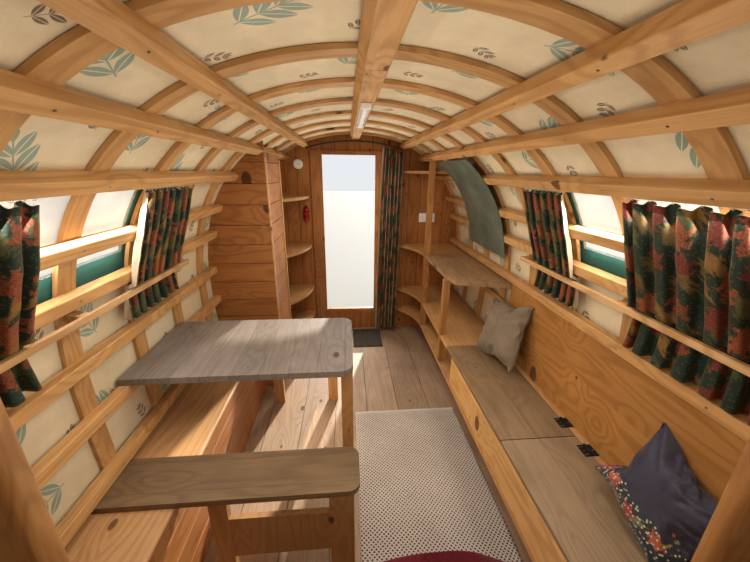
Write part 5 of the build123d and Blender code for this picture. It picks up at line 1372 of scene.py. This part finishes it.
def makeCushion(name, look):
    steps = look["steps"]
    wide, high = look["cut"]
    chance = random.Random(look["seed"])
    index, points, flat = {}, [], []
    for sign in (1, -1):
        for row in range(steps + 1):
            for place in range(steps + 1):
                u, v = place / steps - 0.5, row / steps - 0.5
                rim = max(abs(u), abs(v)) * 2
                if rim > 0.9999 and sign < 0:
                    index[sign, row, place] = index[1, row, place]
                    continue
                index[sign, row, place] = len(points)
                crown = (
                    0.0 if rim > 0.9999
                    else sign * (0.004 + 0.010 * (1 - rim ** 4)) + chance.uniform(-0.0006, 0.0006)
                )
                points.append(Vector((u * wide, v * high, crown)))
                flat.append((u * wide, v * high))
    faces = []
    for sign in (1, -1):
        for row in range(steps):
            for place in range(steps):
                face = [
                    index[sign, row, place], index[sign, row, place + 1], index[sign, row + 1, place + 1],
                    index[sign, row + 1, place]
                ]
                faces.append(tuple(face if sign > 0 else face[::-1]))
    piece = buildMesh(name.replace("_", ""), points, faces, flat)
    puff(piece, look["pressure"])
    grid = np.array([v.co for v in piece.data.vertices])
    grid[:, 2] *= look["thick"] / (grid[:, 2].max() - grid[:, 2].min())
    cut = np.array(flat) / (wide, high) * 2
    grid[:, :2] *= 1 + look["stuffed"] * (1 - cut[:, ::-1] ** 2)   # the filling draws the edges straight
    for number, point in enumerate(grid):   # hand-pressed creases on the front
        if point[2] > 0.004:
            here = Vector((point[0] / wide, point[1] / high))
            for start, end, deep, broad in look["creases"]:
                start, end = Vector(start), Vector(end)
                along = min(1.0, max(0.0, (here - start).dot(end - start) / (end - start).length_squared))
                away = (here - start.lerp(end, along)).length
                grid[number, 2] -= (
                    deep * math.exp(-(away / broad) ** 2) * (1 - 0.85 * along) * min(1.0, point[2] / 0.02)
                )
                grid[number, 2] += (
                    0.4 * deep * math.exp(-((away - 1.7 * broad) / broad) ** 2) * (1 - along)
                    * min(1.0, point[2] / 0.02)
                )
            grid[number, 2] += 0.0025 * ripple(point[0] * 17, point[1] * 17, look["seed"])
    lean, turn = math.radians(look["lean"]), math.radians(look["turn"])
    up = Vector((math.sin(lean), 0, math.cos(lean)))
    out = Vector((-math.cos(lean), 0, math.sin(lean)))
    side = Vector((0, -1, 0))
    places = []
    for x, y, z in grid:
        across, rise = x * math.cos(turn) - y * math.sin(turn), x * math.sin(turn) + y * math.cos(turn)
        places.append(side * across + up * rise + out * z)
    lowest, deepest = min(p.z for p in places), max(p.x for p in places)
    shift = Vector((benchFace - deepest + 0.012, look["middle"], ledgeTop - look["sink"] - lowest))
    for vertex, place in zip(piece.data.vertices, places):
        spot = place + shift
        spot.x = min(spot.x, benchFace - 0.0006)
        spot.z = max(spot.z, ledgeTop + 0.0016 + 0.0005 * ripple(spot.x * 30, spot.y * 30))
        vertex.co = spot
    rim = [index[1, 0, i] for i in range(steps)] + [index[1, i, steps] for i in range(steps)]
    rim += [index[1, steps, steps - i] for i in range(steps)] + [index[1, steps - i, 0] for i in range(steps)]
    seam = [piece.data.vertices[i].co.copy() for i in rim]
    addSubdivision(piece)
    for point in seam:
        point.x = min(point.x, benchFace - look["piping"] - 0.0004)
        point.z = max(point.z, ledgeTop + look["piping"] + 0.0006)
    cord = buildMesh(name.replace("_", "") + "Piping", *tubeMesh(seam, look["piping"], 8, True))
    return piece, cord


def printCorner(tree, flat, look):   # plain navy that gives way to a floral towards one corner
    part = addNode(tree, "SeparateXYZ", [flat]).outputs
    fade = addNode(tree, "Math", [part["X"], look["across"], part["Y"]], "MULTIPLY_ADD")
    edge = addNode(tree, "TexNoise", {"Vector": flat, "Scale": 24.0, "Detail": 1.0}, noise_dimensions="2D")
    fade = addNode(tree, "Math", [edge, 0.14, fade], "MULTIPLY_ADD")
    mask = addNode(tree, "MapRange", [fade, look["until"] + 0.004, look["until"], 0.0, 1.0])
    return addNode(tree, "Mix", [mask, look["colour"], addBlooms(tree, flat, look)])


# Cotton drill: warm grey-brown, washed, soft creases
taupeDrill = makeCloth("washedCottonDrill", {
    **plainCloth, "colour": "#7f6f5a", "thread": 0.0026, "vary": 0.10, "mottle": 9.0
})
# Cotton sateen: near-black navy with a slight gloss, printed with a floral
navySateen = makeCloth(
    "printedCottonSateen",
    {
        **floralLook, "colour": "#2c2b3a", "roughness": 0.36, "gloss": 0.6, "ground": "#22283a",
        "groundToo": "#233228", "leaf": "#9a8f5c", "leafToo": "#3f5a3a", "bloom": "#a8352a",
        "bloomToo": "#bd5a42", "petalLine": "#5a1414", "dot": "#d8cfa4", "dots": 0.9, "blooms": 11.0,
        "leafShow": 0.9, "bloomWide": 0.028, "leaves": 17.0, "thread": 0.002, "across": -0.12, "until": 0.015,
        "sheen": 0.25, "sheenTint": "#b8b4c8"
    },
    printCorner
)
for (name, look), finish in zip(cushions.items(), (taupeDrill, navySateen)):
    cushion, cord = makeCushion(name, look)
    for piece in (cushion, cord):
        fit(paint(piece, finish), look["slot"], *([name] if piece is cushion else []))
        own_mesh(piece)
print("cushions done")

# Bed under a wool blanket
bedLow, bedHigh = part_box("mattress")
bedLook = {
    "voxel": 0.020, "soften": 14, "pressure": 2.5, "cap": 0.012, "rumple": 0.006,
    "bulge": (0.150, 0.155, 0.070), "hollow": (0.47, 0.22, 0.072)
}
shape = bmesh.new()
shape.from_mesh(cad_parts["mattress"].data)
bmesh.ops.remove_doubles(shape, verts=shape.verts[:], dist=1e-5)
for vertex in shape.verts:
    vertex.co.z = min(vertex.co.z, bedHigh.z - 0.010)
blanketMesh = bpy.data.meshes.new("bedBlanket")
shape.to_mesh(blanketMesh)
shape.free()
blanket = addObject("bedBlanket", blanketMesh)
remesh = blanket.modifiers.new("even", "REMESH")
remesh.mode = "VOXEL"
remesh.voxel_size = bedLook["voxel"]
soften = blanket.modifiers.new("soften", "SMOOTH")
soften.factor = 0.6
soften.iterations = bedLook["soften"]
settle(blanket)
puff(blanket, bedLook["pressure"], 14, bedLook["cap"])
(bulge, bulgeWide, bulgeHigh), (hollow, hollowWide, hollowDeep) = bedLook["bulge"], bedLook["hollow"]
for vertex in blanket.data.vertices:
    x, y, z = vertex.co
    top = max(0.0, (z - bedLow.z) / (bedHigh.z - bedLow.z))
    fold = ripple(x * 2.6, y * 4.2, 60) + 0.5 * ripple(x * 7, y * 9, 61)
    edge = math.exp(-((y - bedHigh.y + 0.02) / 0.10) ** 2) * top
    lift = (
        bulgeHigh * math.exp(-((x - bulge) / bulgeWide) ** 2)
        - hollowDeep * math.exp(-((x - hollow) / hollowWide) ** 2)
    )
    vertex.co.z = min(z + bedLook["rumple"] * fold * top + lift * edge, bedHigh.z + 0.013)
    vertex.co.x += 0.004 * ripple(y * 9, z * 7, 62) * (1 - top)
    vertex.co.y += 0.004 * ripple(x * 9, z * 7, 63) * (1 - top)
    vertex.co = (
        min(max(vertex.co.x, bedLow.x), bedHigh.x), max(vertex.co.y, bedLow.y), max(vertex.co.z, bedLow.z)
    )
addSubdivision(blanket)


def makeWool(name, look):   # brushed wool: a deep nap with a paler bloom at grazing angles
    material, tree, shader = startMaterial(
        name, Roughness=0.95, Specular_IOR_Level=0.1, Sheen_Weight=0.06, Sheen_Roughness=0.5
    )
    spot = addNode(tree, "TexCoord").outputs["Object"]
    nap = addNode(tree, "TexNoise", {"Vector": spot, "Scale": 210.0, "Detail": 4.0, "Roughness": 0.7})
    wide = addNode(tree, "TexNoise", {"Vector": spot, "Scale": 6.0, "Detail": 3.0})
    colour = addNode(tree, "Mix", [wide.outputs[0], look["light"], look["dark"]])
    shade = addNode(tree, "MapRange", [nap, 0.3, 0.7, 0.7, 1.3])
    colour = addNode(tree, "VectorMath", [colour, shade], "SCALE")
    bump = addNode(tree, "Bump", {"Strength": 0.7, "Distance": 0.002, "Height": nap})
    feed(tree, shader, Base_Color=colour, Normal=bump)
    return material


# Brushed wool blanket: dark wine red
fit(
    paint(blanket, makeWool("brushedWoolBlanket", {"light": "#571219", "dark": "#3a0a10"})), "bed_cloth",
    "mattress"
)
print("bed done:", len(blanket.data.polygons))

# Fittings on the front wall and the strip light


def makePlastic(name, look):   # moulded plastic: even colour, fine spark-eroded grain, faint handling marks
    material, tree, shader = startMaterial(name, Specular_IOR_Level=0.5)
    spot = addNode(tree, "TexCoord").outputs["Object"]
    cloud = addNode(tree, "TexNoise", {"Vector": spot, "Scale": 30.0, "Detail": 4.0})
    grain = addNode(tree, "TexNoise", {"Vector": spot, "Scale": 1400.0, "Detail": 1.0})
    colour = addNode(tree, "Mix", [cloud.outputs[0], look["light"], look["dark"]])
    rough = addNode(tree, "MapRange", [cloud, 0.3, 0.7, look["roughness"] - 0.06, look["roughness"] + 0.08])
    bump = addNode(tree, "Bump", {"Strength": 0.12, "Distance": 0.0003, "Height": grain})
    feed(tree, shader, Base_Color=colour, Roughness=rough, Normal=bump)
    return material


whitePlastic = makePlastic("mouldedAbs", {"light": "#eceae2", "dark": "#dfdcd2", "roughness": 0.38})
redEnamel = makePlastic("bakedRedEnamel", {"light": "#a31c1a", "dark": "#8a1414", "roughness": 0.28})
blackPlastic = makePlastic("mouldedBlackNylon", {"light": "#1c1c1d", "dark": "#121213", "roughness": 0.45})
milkyLens = makePlastic("extrudedOpalAcrylic", {"light": "#f0eee6", "dark": "#e4e1d6", "roughness": 0.3})

alarm = {"place": (-0.510, frontY, floorTop + 1.656), "radius": 0.045, "deep": 0.030, "vents": 30}
r, d = alarm["radius"], alarm["deep"]
fasten(
    turnPiece(
        "alarmBody",
        [
            (0, 0.0002), (r, 0.0002), (r, 0.007), (r * 0.985, 0.010), (r * 0.93, 0.012), (r * 0.93, 0.0145),
            (r * 0.96, 0.016), (r * 0.93, 0.022), (r * 0.82, 0.0265), (r * 0.62, 0.029),
            (r * 0.30, d - 0.0004), (r * 0.28, d - 0.0015), (r * 0.16, d - 0.0015), (r * 0.14, d - 0.0003),
            (0, d - 0.0002)
        ],
        alarm["place"], (0, -1, 0), 56
    ),
    whitePlastic, "wall_fittings"
)
# the vents are near-black discs round the side: painted shade where the openings are
vents = []
for number in range(alarm["vents"]):
    angle = 2 * math.pi * number / alarm["vents"]
    away = Vector((math.cos(angle), 0, math.sin(angle)))
    vents.append((Vector(alarm["place"]) + away * r * 0.935 + Vector((0, -0.0132, 0)), away))
fit(repeatOn("alarmVents", vents, nailTree, HeadWidth=0.0034), "white_plastic")

bottle = {"place": (-0.455, frontY - 0.030, floorTop + 1.225), "radius": 0.026, "high": 0.150}
r, h = bottle["radius"], bottle["high"]
base = Vector(bottle["place"]) - Vector((0, 0, h / 2))
fasten(
    turnPiece(
        "extinguisherBody",
        [
            (0, 0.0035), (r * 0.55, 0.003), (r * 0.72, 0.0), (r * 0.92, 0.001), (r, 0.007), (r, h * 0.66),
            (r * 0.94, h * 0.73), (r * 0.70, h * 0.795), (r * 0.40, h * 0.82), (r * 0.36, h * 0.835),
            (0, h * 0.835)
        ],
        base, (0, 0, 1), 44
    ),
    redEnamel
)
fasten(
    turnPiece(
        "extinguisherValve",
        [
            (0, h * 0.836), (r * 0.46, h * 0.836), (r * 0.46, h * 0.875), (r * 0.34, h * 0.885),
            (r * 0.34, h * 0.925), (r * 0.20, h * 0.935), (0, h * 0.935)
        ],
        base, (0, 0, 1), 24
    ),
    blackPlastic
)
top = base + Vector((0, 0, h * 0.93))
fasten(
    easedBox(
        "extinguisherLever", top + Vector((-0.005, -0.024, 0.0)), top + Vector((0.005, 0.016, 0.0042)), 0.0012
    ),
    blackPlastic
)
fasten(
    easedBox(
        "extinguisherHandle", top + Vector((-0.005, -0.020, -0.0088)), top + Vector((0.005, 0.004, -0.0056)),
        0.0010
    ),
    blackPlastic
)
fasten(
    turnPiece(
        "extinguisherNozzle",
        [
            (0, 0.0), (0.0035, 0.0), (0.0035, 0.010), (0.005, 0.013), (0.005, 0.020), (0.003, 0.020),
            (0, 0.017)
        ],
        top + Vector((0, -0.004, -0.007)), (0, -1, 0), 16
    ),
    blackPlastic
)
for number, lift in enumerate((0.28, 0.56)):
    fasten(
        turnPiece(
            f"extinguisherStrap.{number}",
            [
                (r + 0.0002, h * lift), (r + 0.0012, h * lift + 0.0006), (r + 0.0012, h * lift + 0.0104),
                (r + 0.0002, h * lift + 0.011), (r + 0.0002, h * lift)
            ],
            base, (0, 0, 1), 44
        ),
        blackPlastic
    )
plate = Vector((bottle["place"][0], frontY, bottle["place"][2]))
fasten(
    easedBox(
        "extinguisherBracket", plate + Vector((-0.014, -0.0052, -0.052)),
        plate + Vector((0.014, -0.0003, 0.028)), 0.0012
    ),
    blackPlastic
)

sockets = {"left": (0.624, 0.700), "right": (0.704, 0.779)}   # from and to, across the wall
socketRise = (floorTop + 1.135, floorTop + 1.222)
# place, width, height
pinSlots = [(0, 0.0225, 0.0042, 0.0085), (-0.0111, 0, 0.0068, 0.0042), (0.0111, 0, 0.0068, 0.0042)]
socketScrews = []
for name, (x0, x1) in sockets.items():
    (z0, z1), face = socketRise, frontY - 0.0105
    fasten(
        easedBox("socketPlate." + name, (x0, face, z0), (x1, frontY - 0.0004, z1), 0.0028, 3), whitePlastic
    )
    fasten(
        easedBox(
            "socketRocker." + name, (x1 - 0.026, face - 0.0015, z1 - 0.029),
            (x1 - 0.014, face + 0.002, z1 - 0.011), 0.0011
        ),
        whitePlastic
    )
    middle, low = (x0 + x1) / 2 - 0.004, z0 + 0.030
    for number, (dx, dz, wide, high) in enumerate(pinSlots):
        fasten(
            easedBox(
                f"socketSlot.{name}.{number}", (middle + dx - wide / 2, face - 0.0002, low + dz - high / 2),
                (middle + dx + wide / 2, face + 0.003, low + dz + high / 2), 0.0004, 1
            ),
            blackPlastic
        )
    for x in (x0 + 0.008, x1 - 0.008):
        socketScrews.append((Vector((x, face - 0.0002, (z0 + z1) / 2)), (0.0, -1.0, 0.0)))
fit(repeatOn("socketScrews", socketScrews, screwTree, HeadWidth=0.0055, HeadHeight=0.0007), "white_plastic")

lightLow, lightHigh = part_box("ceiling_light")
middle = (lightLow.x + lightHigh.x) / 2
fasten(
    easedBox(
        "lightBase", (lightLow.x, lightLow.y + 0.012, lightHigh.z - 0.009),
        (lightHigh.x, lightHigh.y - 0.012, lightHigh.z - 0.0004), 0.0015
    ),
    whitePlastic, "ceiling_light"
)
outline = []
for step in range(25):   # the lens: a half round with fine ribs along it
    angle = math.pi * step / 24
    reach = 0.0168 if step % 2 else 0.0180
    outline.append(
        (middle + reach * math.cos(angle), lightHigh.z - 0.0088 - 0.0165 * math.sin(angle) * reach / 0.018)
    )
ys = stations(lightLow.y + 0.014, lightHigh.y - 0.014, 0.05)
points = np.array([[(x, y, z) for x, z in outline] for y in ys])
lens = thicken(buildSheet("lightLens", points, points[:, :, :2] * 0), 0.0012, [milkyLens])
fit(lens, "white_plastic")
for number, (y0, y1) in enumerate([(lightLow.y, lightLow.y + 0.016), (lightHigh.y - 0.016, lightHigh.y)]):
    fasten(
        easedBox(
            f"lightEnd.{number}", (lightLow.x, y0, lightLow.z), (lightHigh.x, y1, lightHigh.z - 0.0002),
            0.005, 4
        ),
        whitePlastic
    )

# Screws of the lid hinges and bolts of the door straps, each on the body that they go round with
hingeNodes = {
    "lid_hinges": ("cabin", 1), "lid_leaves_far": ("lid_far", -1), "lid_leaves_near": ("lid_near", -1)
}
leafScrews = {   # places along a leaf and out from the axis, on the cabin's side and on the lids' side
    1: [(0.030, 0.021)],
    -1: [(0.010, 0.016), (0.010, 0.027), (0.030, 0.021), (0.050, 0.016), (0.050, 0.027)],
}
boltRun = (0.055, 0.115, 0.175)   # out from the pintle, along a strap
for node, (body, sign) in hingeNodes.items():
    spots = []
    ys = sorted({round(v.co.y, 4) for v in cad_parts[node].data.vertices})
    leaves = [ys[0]] + [b for a, b in zip(ys, ys[1:]) if b - a > 0.1]   # a leaf starts after each wide gap
    for start in leaves:
        for along, away in leafScrews[sign]:
            spots.append(
                (Vector((lidHingeX + sign * away, start + along, ledgeTop + 0.0026)), (0.0, 0.0, 1.0))
            )
    fit(
        repeatOn(f"hingeScrews.{body}", spots, screwTree, HeadWidth=0.0062, HeadHeight=0.0008), "black_iron",
        body=body
    )
for leaf in ("upper", "lower"):
    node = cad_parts["door_straps_" + leaf]
    straps = [v.co for v in node.data.vertices]
    levels = sorted({round(p.z, 3) for p in straps})
    # along the strap, from the hinge outwards, on the leaf's outer face
    axis = Vector(pintleSpot)
    reaches = [Vector(p[:2]) - axis for p in straps]
    way = max(reaches, key=lambda r: r.length_squared).normalized()
    outward = max(
        (Vector((way.y, -way.x)), Vector((-way.y, way.x))), key=lambda w: max(w.dot(r) for r in reaches)
    )
    face = max(outward.dot(r) for r in reaches)
    spots = []
    for bottom, top in zip(levels[::2], levels[1::2]):
        for along in boltRun:
            spot = axis + way * along + outward * (face + 0.0006)
            spots.append((Vector((spot.x, spot.y, (bottom + top) / 2)), (outward.x, outward.y, 0.0)))
    fit(repeatOn(f"strapBolts.{leaf}", spots, tackTree, HeadWidth=0.012), "black_iron", body="door_" + leaf)
print("fittings done")

bpy.context.scene.view_settings.view_transform = "Standard"
